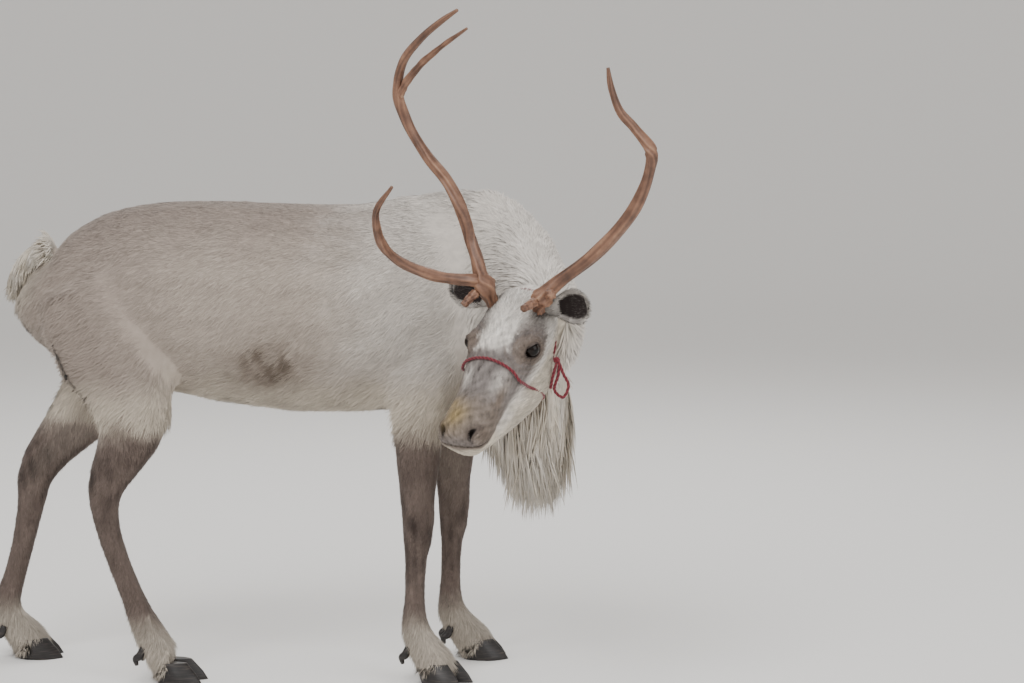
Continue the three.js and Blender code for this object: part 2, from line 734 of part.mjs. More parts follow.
const X = V(1, 0, 0);
const Z = V(0, 0, 1);
addNode("head", body.intersect(blockBeyond(HEAD_CUT, GAP / 2)), coat);
const rest = body.subtract(blockBeyond(HEAD_CUT, -GAP / 2));
addNode("neck", beyond(rest, NECK_CUT.at, NECK_CUT.normal), coat);
const trunk = largest(behind(rest, NECK_CUT.at, NECK_CUT.normal));
const LEG_CUT = { fore: V(0, 0, LEGS.right_foreleg.cut), hind: V(0, 0, LEGS.right_hindleg.cut) };
const foreHalf = beyond(trunk, V(SHOULDER_X, 0, 0), X);
const middle = behind(trunk, V(SHOULDER_X, 0, 0), X);
const hindHalf = behind(middle, V(FLANK_X, 0, 0), X);
addNode("chest", beyond(foreHalf, LEG_CUT.fore, Z), coat);
addNode("barrel", beyond(middle, V(FLANK_X, 0, 0), X), coat);
addNode("rump", beyond(hindHalf, LEG_CUT.hind, Z), coat);

for (const [name, leg] of legs) {
  const half = name.includes("fore") ? foreHalf : hindHalf;
  const hip = V(0, 0, leg.cut);
  const own = behind(half, hip, Z).trimByPlane([0, Math.sign(leg.y), 0], 0);
  const knee = V(0, 0, leg.joint);
  addNode(name + "_upper", beyond(own, knee, Z), coat);
  addNode(name + "_lower", behind(own, knee, Z), shank);
  for (const side of [1, -1]) {
    const where = side * leg.y > 0 ? "outer" : "inner";
    addNode(`${name}_${where}_hoof`, hoof(leg, side), horn);
    addNode(`${name}_${where}_dewclaw`, dewclaw(leg, side).subtract(hoof(leg, side, GAP)), horn);
  }
}

for (const side of ["right", "left"]) {
  const [lower, upper] = beamLengths(side);
  addNode(side + "_antler_beam", lower, antler);
  addNode(side + "_antler_upper", upper, antler);
}
for (const name of Object.keys(TINES)) {
  const others = Object.keys(TINES).slice(0, Object.keys(TINES).indexOf(name));
  const clear = [beam(TINES[name][0], GAP), ...others.map((other) => tine(other, GAP))];
  addNode(name, tine(name).subtract(unionOf(clear)), antler);
}
addNode("left_eye", eyeBall(1), eyeball);
addNode("right_eye", eyeBall(-1), eyeball);
for (const side of ["left", "right"])
  addNode(side + "_ear", ear(side).subtract(unionOf([beam(side, GAP), headstall(GAP)])), coat);

const grown = unionOf([torso(GAP), neck(GAP), headFlesh(GAP), ...legs.map(([, leg]) => legFlesh(leg))]);
addNode("tail", tailSolid().subtract(grown), cream);
const halter = unionOf([noseband(GAP), headstall(GAP), bow(GAP)]);
addNode("throat_mane", maneSolid().subtract(unionOf([grown, halter])), cream);
const tines = Object.keys(TINES).map((name) => tine(name, GAP));
const antlers = unionOf([beam("right", GAP), beam("left", GAP), ...tines]);
addNode("halter_noseband", noseband().subtract(grown), cord);
addNode("halter_headstall", headstall().subtract(unionOf([grown, antlers, bow(GAP)])), cord);
addNode("halter_bow", bow().subtract(grown), cord);

// The origin goes to the ground under the middle of the whole box.
const box = new THREE.Box3().setFromObject(group);
const centre = box.getCenter(V(0, 0, 0));
group.position.set(-centre.x, -centre.y, -box.min.z);

export default group;
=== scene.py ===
import math
import bpy
import numpy as np
from mathutils import Matrix, Vector
from mathutils.bvhtree import BVHTree


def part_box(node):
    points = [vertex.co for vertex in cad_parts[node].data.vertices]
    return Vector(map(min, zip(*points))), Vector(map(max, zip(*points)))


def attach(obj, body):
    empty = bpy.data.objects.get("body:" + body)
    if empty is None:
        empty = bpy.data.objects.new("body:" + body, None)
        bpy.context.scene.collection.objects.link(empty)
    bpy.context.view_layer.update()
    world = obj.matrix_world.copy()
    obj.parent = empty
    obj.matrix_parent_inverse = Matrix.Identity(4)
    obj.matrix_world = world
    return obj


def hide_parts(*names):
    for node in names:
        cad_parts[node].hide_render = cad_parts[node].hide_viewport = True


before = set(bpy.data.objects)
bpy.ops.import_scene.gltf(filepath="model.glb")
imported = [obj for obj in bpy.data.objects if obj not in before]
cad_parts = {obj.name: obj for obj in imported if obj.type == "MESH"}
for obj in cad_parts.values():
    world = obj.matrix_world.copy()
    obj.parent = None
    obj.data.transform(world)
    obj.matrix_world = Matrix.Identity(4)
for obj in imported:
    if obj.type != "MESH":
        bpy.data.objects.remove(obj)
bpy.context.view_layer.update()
MM = 0.001

# Where the animal stands: its own axes are those of the frame, +X forward and +Y to its left, with
# the ground at 0. The frame's origin is under the middle of its box, so an eye tells how far off it
# is. The head hangs, turned to the right, and has axes of its own: +X to the nose, +Z off the brow.
HEAD_AT = Vector((474, -372, 831)) * MM
HEAD_TURN = -123
HEAD_NOD = 50
HEAD_TILT = -6
EYE = np.array([92, 66, -31]) * MM
EYE_R = 17 * MM

turn = Matrix.Rotation(math.radians(HEAD_TURN), 4, "Z")
nod = Matrix.Rotation(math.radians(HEAD_NOD), 4, "Y")
tilt = Matrix.Rotation(math.radians(HEAD_TILT), 4, "X")
head_pose = Matrix.Translation(HEAD_AT) @ turn @ nod @ tilt
low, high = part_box("left_eye")
SHIFT = (low + high) / 2 - head_pose @ Vector(EYE)
head_pose = Matrix.Translation(SHIFT) @ head_pose
HEAD_AXES = np.array(head_pose.to_3x3())
HEAD_O = np.array(head_pose.translation)
SHIFT = np.array(SHIFT)


def from_head(points):
    """Places in the head's axes, in the frame."""
    return points @ HEAD_AXES.T + HEAD_O


def to_head(points):
    return (points - HEAD_O) @ HEAD_AXES


def smoothstep(low, high, x):
    """0 at low, 1 at high, with soft ends. Low may be the greater."""
    t = np.clip((x - low) / (high - low), 0, 1)
    return t * t * (3 - 2 * t)


def unit(v):
    return v / np.maximum(np.linalg.norm(v, axis=-1, keepdims=True), 1e-12)


# Camera: a long lens at the height of the back, as the animal was seen.
CAMERA_AT = np.array([0.472, -6.0, 1.30])
CAMERA_DOWN = 5.62  # degrees
LENS_PX = 2820  # focal length, in pixels of a picture that wide
PICTURE_WIDE = 1024
SENSOR_MM = 36
camera = bpy.data.objects.new("camera", bpy.data.cameras.new("camera"))
camera.data.sensor_width = SENSOR_MM
camera.data.lens = SENSOR_MM * LENS_PX / PICTURE_WIDE
camera.location = CAMERA_AT + SHIFT
camera.rotation_euler = (math.radians(90 - CAMERA_DOWN), 0, 0)
bpy.context.scene.collection.objects.link(camera)
bpy.context.scene.camera = camera


# Trunk, neck and legs: one skin over all the flesh, made from the solids of the frame. It is closed
# over their gaps, smoothed, and let in by the depth of the coat that grows on it.
FLESH = ["head", "neck", "chest", "barrel", "rump"]
LEG_NAMES = ["right_foreleg", "left_foreleg", "right_hindleg", "left_hindleg"]
FLESH += [leg + part for leg in LEG_NAMES for part in ("_upper", "_lower")]
SKIN_VOXEL = 5.5 * MM
SKIN_PASSES = 10  # of smoothing, after the voxels
GAP_SWELL = 0.6 * MM  # of each solid, which closes the gaps between neighbours


def mesh_object(name, points, faces):
    """A mesh from an array of points and one of faces, all with the same number of corners."""
    faces = np.asarray(faces, dtype=np.int32)
    mesh = bpy.data.meshes.new(name)
    mesh.vertices.add(len(points))
    mesh.vertices.foreach_set("co", np.asarray(points, dtype=np.float32).ravel())
    mesh.loops.add(faces.size)
    mesh.loops.foreach_set("vertex_index", faces.ravel())
    mesh.polygons.add(len(faces))
    mesh.polygons.foreach_set("loop_start", np.arange(0, faces.size, faces.shape[1], dtype=np.int32))
    mesh.update(calc_edges=True)
    mesh.polygons.foreach_set("use_smooth", np.ones(len(faces), dtype=bool))
    made = bpy.data.objects.new(name, mesh)
    bpy.context.scene.collection.objects.link(made)
    return made


def points_of(mesh):
    points = np.empty(len(mesh.vertices) * 3, dtype=np.float32)
    mesh.vertices.foreach_get("co", points)
    return points.reshape(-1, 3).astype(float)


def triangles_of(mesh):
    mesh.calc_loop_triangles()
    faces = np.empty(len(mesh.loop_triangles) * 3, dtype=np.int32)
    mesh.loop_triangles.foreach_get("vertices", faces)
    return faces.reshape(-1, 3)


def normals_of(points, triangles):
    a, b, c = (points[triangles[:, i]] for i in range(3))
    face = np.cross(b - a, c - a)
    normals = np.zeros_like(points)
    for i in range(3):
        for axis in range(3):
            normals[:, axis] += np.bincount(triangles[:, i], face[:, axis], len(points))
    return unit(normals)


def tree_of(points, triangles):
    return BVHTree.FromPolygons(points.tolist(), triangles.tolist())


def joined(parts):
    """One array of points and one of triangles from several."""
    points, faces, start = [], [], 0
    for part_points, part_faces in parts:
        points.append(part_points)
        faces.append(part_faces + start)
        start += len(part_points)
    return np.concatenate(points), np.concatenate(faces)


def remeshed(points, triangles, voxel):
    made = mesh_object("remesh", points, triangles)
    modifier = made.modifiers.new("voxels", "REMESH")
    modifier.mode = "VOXEL"
    modifier.voxel_size = voxel
    result = made.evaluated_get(bpy.context.evaluated_depsgraph_get()).to_mesh()
    out = points_of(result), triangles_of(result)
    bpy.data.objects.remove(made)
    return out


def smoothed(points, triangles, times):
    """Each point drawn towards the middle of its neighbours, again and again."""
    a = triangles[:, [0, 1, 2]].ravel()
    b = triangles[:, [1, 2, 0]].ravel()
    count = np.bincount(a, minlength=len(points))[:, None]
    for _ in range(times):
        mean = np.stack([np.bincount(a, points[b, i], len(points)) for i in range(3)], 1) / count
        points = points + 0.6 * (mean - points)
    return points


def catmull(rows, t):
    """A centripetal curve through the rows, at each t from 0 to 1."""
    rows = np.asarray(rows, dtype=float)
    rows = np.concatenate([[2 * rows[0] - rows[1]], rows, [2 * rows[-1] - rows[-2]]])
    spans = len(rows) - 3
    at = np.clip(np.asarray(t, dtype=float) * spans, 0, spans - 1e-9)
    i = at.astype(int)
    w = (at - i)[:, None]
    p0, p1, p2, p3 = (rows[i + k] for k in range(4))
    gap = [np.sqrt(np.maximum(np.linalg.norm((q - p)[:, :3], axis=1), 1e-9))[:, None]
           for p, q in ((p0, p1), (p1, p2), (p2, p3))]
    m1 = ((p1 - p0) / gap[0] - (p2 - p0) / (gap[0] + gap[1])) * gap[1] + (p2 - p1)
    m2 = ((p3 - p2) / gap[2] - (p3 - p1) / (gap[1] + gap[2])) * gap[1] + (p2 - p1)
    return (
        p1 * (1 + 2 * w) * (1 - w) ** 2
        + p2 * w**2 * (3 - 2 * w)
        + m1 * w * (1 - w) ** 2
        + m2 * w**2 * (w - 1)
    )


def grid_faces(rings, sides):
    """Triangles over rings of points, with a point more at each end to close them."""
    i, j = np.meshgrid(np.arange(rings - 1), np.arange(sides), indexing="ij")
    a = (i * sides + j).ravel()
    b = (i * sides + (j + 1) % sides).ravel()
    c, d = b + sides, a + sides
    j = np.arange(sides)
    k = (j + 1) % sides
    first, last = np.full(sides, rings * sides), np.full(sides, rings * sides + 1)
    end = (rings - 1) * sides
    return np.concatenate([
        np.stack([a, b, c], 1),
        np.stack([a, c, d], 1),
        np.stack([first, k, j], 1),
        np.stack([last, end + j, end + k], 1),
    ])


def closed(rings):
    """Points and triangles of a skin over an array of rings, capped at both ends."""
    count, sides = rings.shape[:2]
    ends = np.stack([rings[0].mean(0), rings[-1].mean(0)])
    return np.concatenate([rings.reshape(-1, 3), ends]), grid_faces(count, sides)


def rings_along(stations, sides, steps, left, shape=None):
    """Rings round a curve through stations [x, y, z, half width, half height, half height below].
    `shape` gives the size of each ring point from its place along and round the curve."""
    t = np.linspace(0, 1, steps + 1)
    rows = catmull(stations, t)
    centre, half = rows[:, :3], np.maximum(rows[:, 3:], 1e-5)
    tangent = unit(np.gradient(centre, axis=0))
    side = np.broadcast_to(np.asarray(left, dtype=float), centre.shape)
    side = unit(side - tangent * (side * tangent).sum(1, keepdims=True))
    up = np.cross(tangent, side)
    angle = np.linspace(0, 2 * np.pi, sides, endpoint=False)
    size = np.ones((len(t), sides)) if shape is None else shape(t[:, None], angle[None, :])
    high = np.where(np.sin(angle)[None, :] > 0, half[:, 1:2], half[:, -1:])
    across = np.cos(angle)[None, :] * half[:, :1] * size
    rise = np.sin(angle)[None, :] * high * size
    return centre[:, None] + across[..., None] * side[:, None] + rise[..., None] * up[:, None]


def in_design(stations):
    """Stations in millimetres of the animal's own axes, in the frame's metres."""
    rows = np.asarray(stations, dtype=float) * MM
    rows[:, :3] += SHIFT
    return rows


# Cores of the throat mane and of the tail: the dense hair near the flesh, which the long hair hides.
# The mane's hangs under the bent neck, and the tail's is short and carried low.
MANE = [
    [492, -345, 632, 26, 80, 40],
    [510, -300, 622, 46, 80, 72],
    [522, -240, 620, 56, 80, 86],
    [514, -170, 628, 56, 80, 80],
    [480, -95, 644, 48, 80, 62],
    [436, -45, 655, 34, 70, 46],
]
TAIL = [
    [-500, 0, 905, 36, 26, 26],
    [-532, 0, 897, 36, 24, 26],
    [-560, 0, 880, 30, 20, 24],
    [-578, 0, 856, 18, 12, 16],
    [-584, 0, 838, 7, 5, 6],
]
mane_core = closed(rings_along(in_design(MANE), 24, 30, (0, 1, 0)))
tail_core = closed(rings_along(in_design(TAIL), 20, 20, (0, 1, 0)))

flesh_meshes = [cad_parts[name].data for name in FLESH]
flesh_parts = [(points_of(mesh), triangles_of(mesh)) for mesh in flesh_meshes]
cad_points, cad_faces = joined(flesh_parts)
coat_top = tree_of(cad_points, cad_faces)
swollen = []
for points, faces in flesh_parts:
    keys = np.unique(np.round(points * 1e5).astype(np.int64), axis=0, return_inverse=True)[1].ravel()
    whole = keys[faces]
    welded = np.zeros((keys.max() + 1, 3))
    welded[keys] = points
    swollen.append((welded + normals_of(welded, whole) * GAP_SWELL, whole))
skin_points, skin_faces = remeshed(*joined(swollen + [mane_core, tail_core]), SKIN_VOXEL)
skin_points = smoothed(skin_points, skin_faces, SKIN_PASSES)


def design(points):
    """Places in the frame, in the animal's own axes."""
    return points - SHIFT


def neck_share(points):
    """0 on the trunk, 1 on the neck."""
    p = design(points)
    return smoothstep(-0.05, 0.09, 0.93 * (p[:, 0] - 0.418) - 0.36 * (p[:, 1] + 0.02))


# Head: skull and jaw under thin skin. Each ring is the outer line of two ovals, the skull's above
# and the jaw's below, and lids, nostrils, lips and folds are worked into it afterwards.
SKULL = np.array([  # place along the head, height of the widest part, half width, above, below
    [-58, -78, 34, 26, 34],
    [-42, -72, 56, 48, 66],
    [-5, -64, 71, 62, 84],
    [50, -60, 80, 63, 88],
    [100, -52, 80, 54, 90],
    [150, -47, 70, 43, 76],
    [205, -42, 57, 36, 56],
    [250, -36, 55, 37, 50],
    [290, -32, 56, 38, 42],
    [316, -33, 51, 36, 34],
    [331, -36, 38, 26, 26],
    [338, -38, 16, 12, 12],
]) * MM
JAW = np.array([
    [-58, -84, 8, 6, 8],
    [0, -92, 42, 24, 34],
    [60, -106, 70, 38, 50],
    [110, -110, 82, 42, 60],
    [160, -105, 76, 40, 60],
    [205, -96, 62, 34, 54],
    [250, -86, 50, 26, 42],
    [292, -74, 39, 20, 28],
    [316, -64, 32, 14, 22],
    [328, -60, 24, 10, 16],
    [334, -58, 12, 6, 8],
]) * MM
HEAD_INSET = 2.5 * MM  # of the skin under the short hair of the face
HEAD_STEP = 2.4 * MM  # between the rings of its mesh, and half of it at the eyes and the nose
HEAD_SIDES = 230
HEAD_PASSES = 6  # of smoothing, before the lids and lips are worked in
EYE_TURNS = (22, 158)  # where the eyes are round the head, in degrees
JAW_BLEND = 14  # how sharply the skull's line turns into the jaw's


def smooth_columns(table, x):
    """The table's columns at each x, on smooth curves."""
    at, rest = table[:, 0], table[:, 1:]
    slope = np.gradient(rest, at, axis=0)
    i = np.clip(np.searchsorted(at, x) - 1, 0, len(at) - 2)
    h = (at[i + 1] - at[i])[:, None]
    w = np.clip((x - at[i]) / (at[i + 1] - at[i]), 0, 1)[:, None]
    return (
        rest[i] * (1 + 2 * w) * (1 - w) ** 2
        + rest[i + 1] * w**2 * (3 - 2 * w)
        + slope[i] * h * w * (1 - w) ** 2
        + slope[i + 1] * h * w**2 * (w - 1)
    )


def oval_reach(row, middle, cos, sin):
    """How far each ray from the middle goes to the far side of an oval."""
    mid, wide, above, below = (row[:, i : i + 1] for i in range(4))
    shift = middle - mid
    reach = np.zeros(np.broadcast(cos, mid).shape)
    for high, keep in ((above, 1), (below, -1)):
        a = (cos / wide) ** 2 + (sin / high) ** 2
        b = 2 * shift * sin / high**2
        c = (shift / high) ** 2 - 1
        root = np.sqrt(np.maximum(b * b - 4 * a * c, 0))
        r = (-b + root) / (2 * a)
        good = (b * b - 4 * a * c > 0) & ((shift + r * sin) * keep >= -1e-9) & (r > 0)
        reach = np.where(good, np.maximum(reach, r), reach)
    return reach


def spaced(low, high, step):
    """Places from low to high, as far apart as `step` says at each of them."""
    fine = np.linspace(low, high, 40000)
    count = np.concatenate([[0], np.cumsum((fine[1] - fine[0]) / step(fine[:-1]))])
    return np.interp(np.linspace(0, count[-1], int(count[-1])), count, fine)


def head_ovals(x):
    """Rows of skull and jaw at each x, and the height that their rings are drawn from."""
    skull = smooth_columns(SKULL, x)
    jaw = smooth_columns(JAW, np.minimum(x, JAW[-1, 0]))
    jaw[:, 1:] *= (1 - 0.98 * smoothstep(330 * MM, 337 * MM, x))[:, None]
    share = 0.35 * (1 - smoothstep(0.29, 0.335, x))[:, None]
    return skull, jaw, skull[:, :1] * (1 - share) + jaw[:, :1] * share


def head_reach(x, cos, sin):
    """From the middle of the head at x, how far its coat reaches in each direction."""
    skull, jaw, middle = head_ovals(x)
    over = np.maximum(oval_reach(skull, middle, cos, sin), 0.1 * MM)
    under = np.maximum(oval_reach(jaw, middle, cos, sin), 0.1 * MM)
    return (over**JAW_BLEND + under**JAW_BLEND) ** (1 / JAW_BLEND), middle


def off_head(h):
    """How far places in the head's axes are outside its coat, or inside where negative."""
    x = np.clip(h[:, 0], SKULL[0, 0], 334 * MM)
    _, _, middle = head_ovals(x)
    rise = h[:, 2:] - middle
    far = np.hypot(h[:, 1:2], rise)
    reach = head_reach(x, h[:, 1:2] / (far + 1e-9), rise / (far + 1e-9))[0]
    past_ends = h[:, :1] - x[:, None]
    return np.where(past_ends != 0, np.hypot(far - reach, past_ends), far - reach)[:, 0]


def ring_step(x):
    """Finer at the eyes and the nose."""
    eyes = np.abs(x - EYE[0]) < 32 * MM
    return HEAD_STEP * np.where(eyes | (x > 0.296), 0.5, 1)


def side_step(turn):
    """Finer at the two eyes' levels."""
    at_eyes = [np.abs(turn - math.radians(eye)) < 0.35 for eye in EYE_TURNS]
    return 1 - 0.5 * (at_eyes[0] | at_eyes[1])


def head_share(points):
    """0 behind the head, 1 on it."""
    h = to_head(points)
    on = smoothstep(-0.045, 0.0, 0.84 * (h[:, 0] + 0.014) + 0.54 * (h[:, 2] + 0.088))
    return on * smoothstep(30 * MM, 8 * MM, off_head(h))


head_x = spaced(-58 * MM, 338.3 * MM, ring_step)
angle = spaced(0, 2 * np.pi, lambda turn: 0.002 * side_step(turn))
share = np.linspace(0, 1, HEAD_SIDES, endpoint=False)
angle = np.interp(share, np.linspace(0, 1, len(angle)), angle)[None, :]
cos, sin = np.cos(angle), np.sin(angle)
reach, middle = head_reach(head_x, cos, sin)
reach = np.maximum(reach - HEAD_INSET, 0.5 * MM)
head_rings = np.stack([
    np.broadcast_to(head_x[:, None], reach.shape),
    reach * cos,
    middle + reach * sin,
], -1)
head_points, head_faces = closed(head_rings)
head_points = smoothed(head_points, head_faces, HEAD_PASSES)


def eye_axes(side):
    """The way an eye looks, along its slit and across it."""
    out = unit(np.array([0.28, side * 0.93, 0.22]))
    along = np.array([1, 0, 0.45])
    along = unit(along - out * (along @ out))
    return out, along, np.cross(out, along)


def bump(points, normals, at, radii, height):
    """The points with a round swelling, or a hollow, at a place. All in millimetres."""
    d = points / MM - at
    swelling = np.exp(-(((d / radii) ** 2).sum(1)))
    return points + normals * (height * MM * swelling)[:, None]


HEAD_FORMS = {  # place, radii and height in mm, on the left side of the head
    "brow": ((74, 67, -14), (30, 18, 16), 7),
    "cheekbone": ((92, 78, -60), (30, 20, 12), 3),
    "hollow before the eye": ((146, 60, -34), (24, 18, 14), -4),
    "wing of the nostril": ((312, 40, -10), (16, 14, 14), 4),
}
LID = {"long": 16 * MM, "corner": 20 * MM, "high": 12.5 * MM, "over": 2.6 * MM}
SOCKET_DEEP = 5 * MM  # from the front of the globe to the skin behind its rim


def slit_place(points, side):
    """How far round an eye's slit a point lies, 1 at the edge of the lids, and its height off it."""
    out, along, across = eye_axes(side)
    d = points - EYE * [1, side, 1]
    u, v, w = d @ along, d @ across, d @ out
    reach = np.where(u > 0, LID["corner"], LID["long"])
    return np.sqrt((u / reach) ** 2 + (v / LID["high"]) ** 2), u, v, w, out


for side in (1, -1):
    normals = normals_of(head_points, head_faces)
    for (x, y, z), radii, height in HEAD_FORMS.values():
        head_points = bump(head_points, normals, [x, side * y, z], radii, height)
    rho, u, v, w, out = slit_place(head_points, side)
    ball = np.sqrt(np.maximum(EYE_R**2 - u**2 - v**2, (0.25 * EYE_R) ** 2))
    near = (w > -6 * MM) & (rho < 3)
    under = ball - SOCKET_DEEP
    lid = ball + LID["over"] * (1 + 0.35 * (v > 0))
    fold = 0.9 * MM * np.sin(np.clip(rho - 1.2, 0, 1.6) * 15)
    fold = fold * smoothstep(1.15, 1.4, rho) * smoothstep(2.7, 1.8, rho)
    goal = np.where(rho < 0.95, under, lid + (under - lid) * smoothstep(1.03, 0.95, rho))
    share = smoothstep(2.1, 1.1, rho)
    goal = goal * share + w * (1 - share) + fold
    head_points = head_points + out * np.where(near, goal - w, 0)[:, None]

# nostrils: a comma-shaped slit on each side of the nose
NOSTRIL = {"at": [318, 30, -5], "long": 13 * MM, "wide": 4.6 * MM, "deep": 10 * MM, "rim": 2.2 * MM}


def nostril_place(points, side):
    """How far round a nostril a point lies, 1 at its edge."""
    out = unit(np.array([0.5, side * 0.5, 0.7]))
    long = np.array([0.62, side * -0.35, -0.6])
    long = unit(long - out * (long @ out))
    d = points - np.array(NOSTRIL["at"]) * MM * [1, side, 1]
    u, v, w = d @ long, d @ np.cross(out, long), d @ out
    v = v - 0.4 * side * u**2 / NOSTRIL["long"]
    wide = NOSTRIL["wide"] * (1 - 0.45 * u / NOSTRIL["long"])
    return np.sqrt((u / NOSTRIL["long"]) ** 2 + (v / wide) ** 2) + 9 * (np.abs(w) > 20 * MM)


for side in (1, -1):
    normals = normals_of(head_points, head_faces)
    rho = nostril_place(head_points, side)
    hole = -NOSTRIL["deep"] * smoothstep(1.0, 0.35, rho)
    rim = NOSTRIL["rim"] * np.exp(-(((rho - 1.45) / 0.4) ** 2))
    head_points = head_points + normals * (hole + rim)[:, None]

# mouth: a groove between the lips, from one corner round the front to the other
LIPS = np.array([[250, -55], [268, -50], [296, -42], [314, -37], [327, -32], [336, -27], [345, -24]]) * MM
MOUTH = {"deep": 3.2 * MM, "half": 1.6 * MM, "lip": 1.8 * MM, "away": 6.5 * MM}


def mouth_gap(points):
    """Height over the line of the mouth, and how far inside its corners."""
    line = np.interp(points[:, 0], LIPS[:, 0], LIPS[:, 1])
    return points[:, 2] - line, smoothstep(262 * MM, 276 * MM, points[:, 0])


normals = normals_of(head_points, head_faces)
gap, inside = mouth_gap(head_points)
groove = -MOUTH["deep"] * np.exp(-((gap / MOUTH["half"]) ** 2))
lip = MOUTH["lip"] * np.exp(-(((np.abs(gap) - MOUTH["away"]) / (4.5 * MM)) ** 2))
head_points = head_points + normals * ((groove + lip) * inside)[:, None]
head_world = from_head(head_points)


def coat_depth(points):
    """How thick the coat lies on the skin."""
    leg = smoothstep(0.62, 0.46, design(points)[:, 2])
    depth = (9 + 2 * neck_share(points)) * (1 - leg) + 3 * leg
    head = head_share(points)
    return (depth * (1 - head) + 9 * head) * MM


INSET_STEPS = 5
depth_step = coat_depth(skin_points)[:, None] / INSET_STEPS
for _ in range(INSET_STEPS):
    skin_points = skin_points - normals_of(skin_points, skin_faces) * depth_step
    skin_points = smoothed(skin_points, skin_faces, 2)

# Coat colours: pale in winter, whitest on neck and brow, browner on back and legs, cream below.
# The skin and the hair on it take their colour from the same places.
COAT = {
    "flank": "#b5a99d",
    "back": "#93867d",
    "white": "#d9d3cb",
    "cream": "#d0c5b3",
    "leg": "#6b5d56",
    "leg_dark": "#3c322e",
    "foot": "#beb4a6",
    "soil": "#6f6358",
    "face_grey": "#736c69",
    "muzzle": "#7b7067",
    "ochre": "#93805c",
    "brown": "#71645a",
    "dark": "#352c29",
    "black": "#1c1716",
    "ear": "#261f1e",
}


def linear(colour):
    """An sRGB hex value as linear red, green and blue."""
    parts = [int(colour[i : i + 2], 16) / 255 for i in (1, 3, 5)]
    return np.array([c / 12.92 if c <= 0.04045 else ((c + 0.055) / 1.055) ** 2.4 for c in parts])


def mottle(points, size, seed):
    """Soft patches about `size` across, from -1 to 1."""
    draw = np.random.default_rng(seed)
    total = np.zeros(len(points))
    for _ in range(7):
        way = unit(draw.normal(size=3))
        total += np.sin(points @ way * (2 * np.pi / size) * draw.uniform(0.7, 1.4) + draw.uniform(0, 6.28))
    return total / 3.5


def mix(base, name, share):
    """The colours `base`, each turned towards a colour of the coat by its share."""
    return base + (linear(COAT[name]) - base) * np.clip(share, 0, 1)[:, None]


def spot(points, at, radii):
    """1 at a place, falling softly to 0 round it."""
    d = (points - np.array(at)) / np.array(radii)
    return np.exp(-(d**2).sum(1))


SHEATH = ((-0.115, 0, 0.555), (0.022, 0.06, 0.02))  # a dark tuft under the belly, place and size


def body_colour(points):
    p = design(points)
    x, y, z = p.T
    ragged = mottle(points, 0.09, 3) * 0.5 + mottle(points, 0.035, 4) * 0.3
    c = np.tile(linear(COAT["flank"]), (len(p), 1))
    # places below are in metres: x from the middle forward, z over the ground
    c = mix(c, "back", smoothstep(0.86, 1.0, z + 0.03 * ragged) * smoothstep(0.42, 0.2, x) * 0.85)
    # darker over the rump: partly its own browner hair, and partly painted shade
    c = mix(c, "back", smoothstep(-0.12, -0.4, x) * smoothstep(0.5, 0.65, z) * 0.7)
    c = mix(c, "white", smoothstep(0.02, 0.3, x + 0.05 * ragged) * smoothstep(0.56, 0.72, z) * 0.75)
    c = mix(c, "white", neck_share(points) * 0.5)
    c = mix(c, "cream", smoothstep(0.68, 0.585, z + 0.02 * ragged) * smoothstep(0.53, 0.56, z) * 0.8)
    c = mix(c, "cream", spot(p, (-0.58, 0, 0.87), (0.06, 0.1, 0.07)) * 1.1)
    # a soiled patch low on the right flank
    soil = spot(p, (-0.02, -0.17, 0.675), (0.075, 0.09, 0.055)) * (y < 0)
    c = mix(c, "soil", soil * (0.95 + 0.5 * mottle(points, 0.028, 5)))
    c = mix(c, "dark", spot(p, *SHEATH))
    # legs
    leg = smoothstep(0.6, 0.5, z + 0.035 * ragged)
    c = mix(c, "leg", leg * 0.95)
    streak = 0.5 + 0.6 * mottle(points * [1, 1, 0.25], 0.022, 6)
    dark = np.where(x > 0, np.exp(-(((z - 0.31) / 0.1) ** 2)), np.exp(-(((z - 0.43) / 0.09) ** 2)))
    c = mix(c, "leg_dark", leg * streak * (0.25 + 0.5 * dark))
    inner_side = smoothstep(0.045, 0.0, np.abs(y) - 0.055) * smoothstep(0.2, 0.5, z)
    c = mix(c, "flank", leg * inner_side * 0.5)
    c = mix(c, "foot", smoothstep(0.17, 0.09, z + 0.02 * ragged) * 0.9)
    return np.clip(c * (1 + 0.07 * ragged)[:, None], 0, 1)


FACE_SPOTS = [  # colour, place, radii and strength, in mm in the head's axes, on both sides
    ("dark", (124, 60, -40), (14, 16, 6), 0.7),
    ("white", (186, 40, -12), (26, 14, 16), 0.75),
    ("brown", (222, 52, -24), (46, 20, 9), 0.95),
    ("brown", (306, 52, -20), (14, 16, 16), 0.9),
    # painted shadow: dark round the roots of the antlers, where the hair under them lies in shade
    ("dark", (8, 56, -20), (34, 24, 26), 1.2),
    ("face_grey", (-36, 26, -24), (16, 26, 16), 0.9),
]
NOSE_SLITS = [(150, -9, 5), (166, -13, 8), (184, -19, 6), (197, -17, 5), (219, -21, 6), (234, -15, 7)]


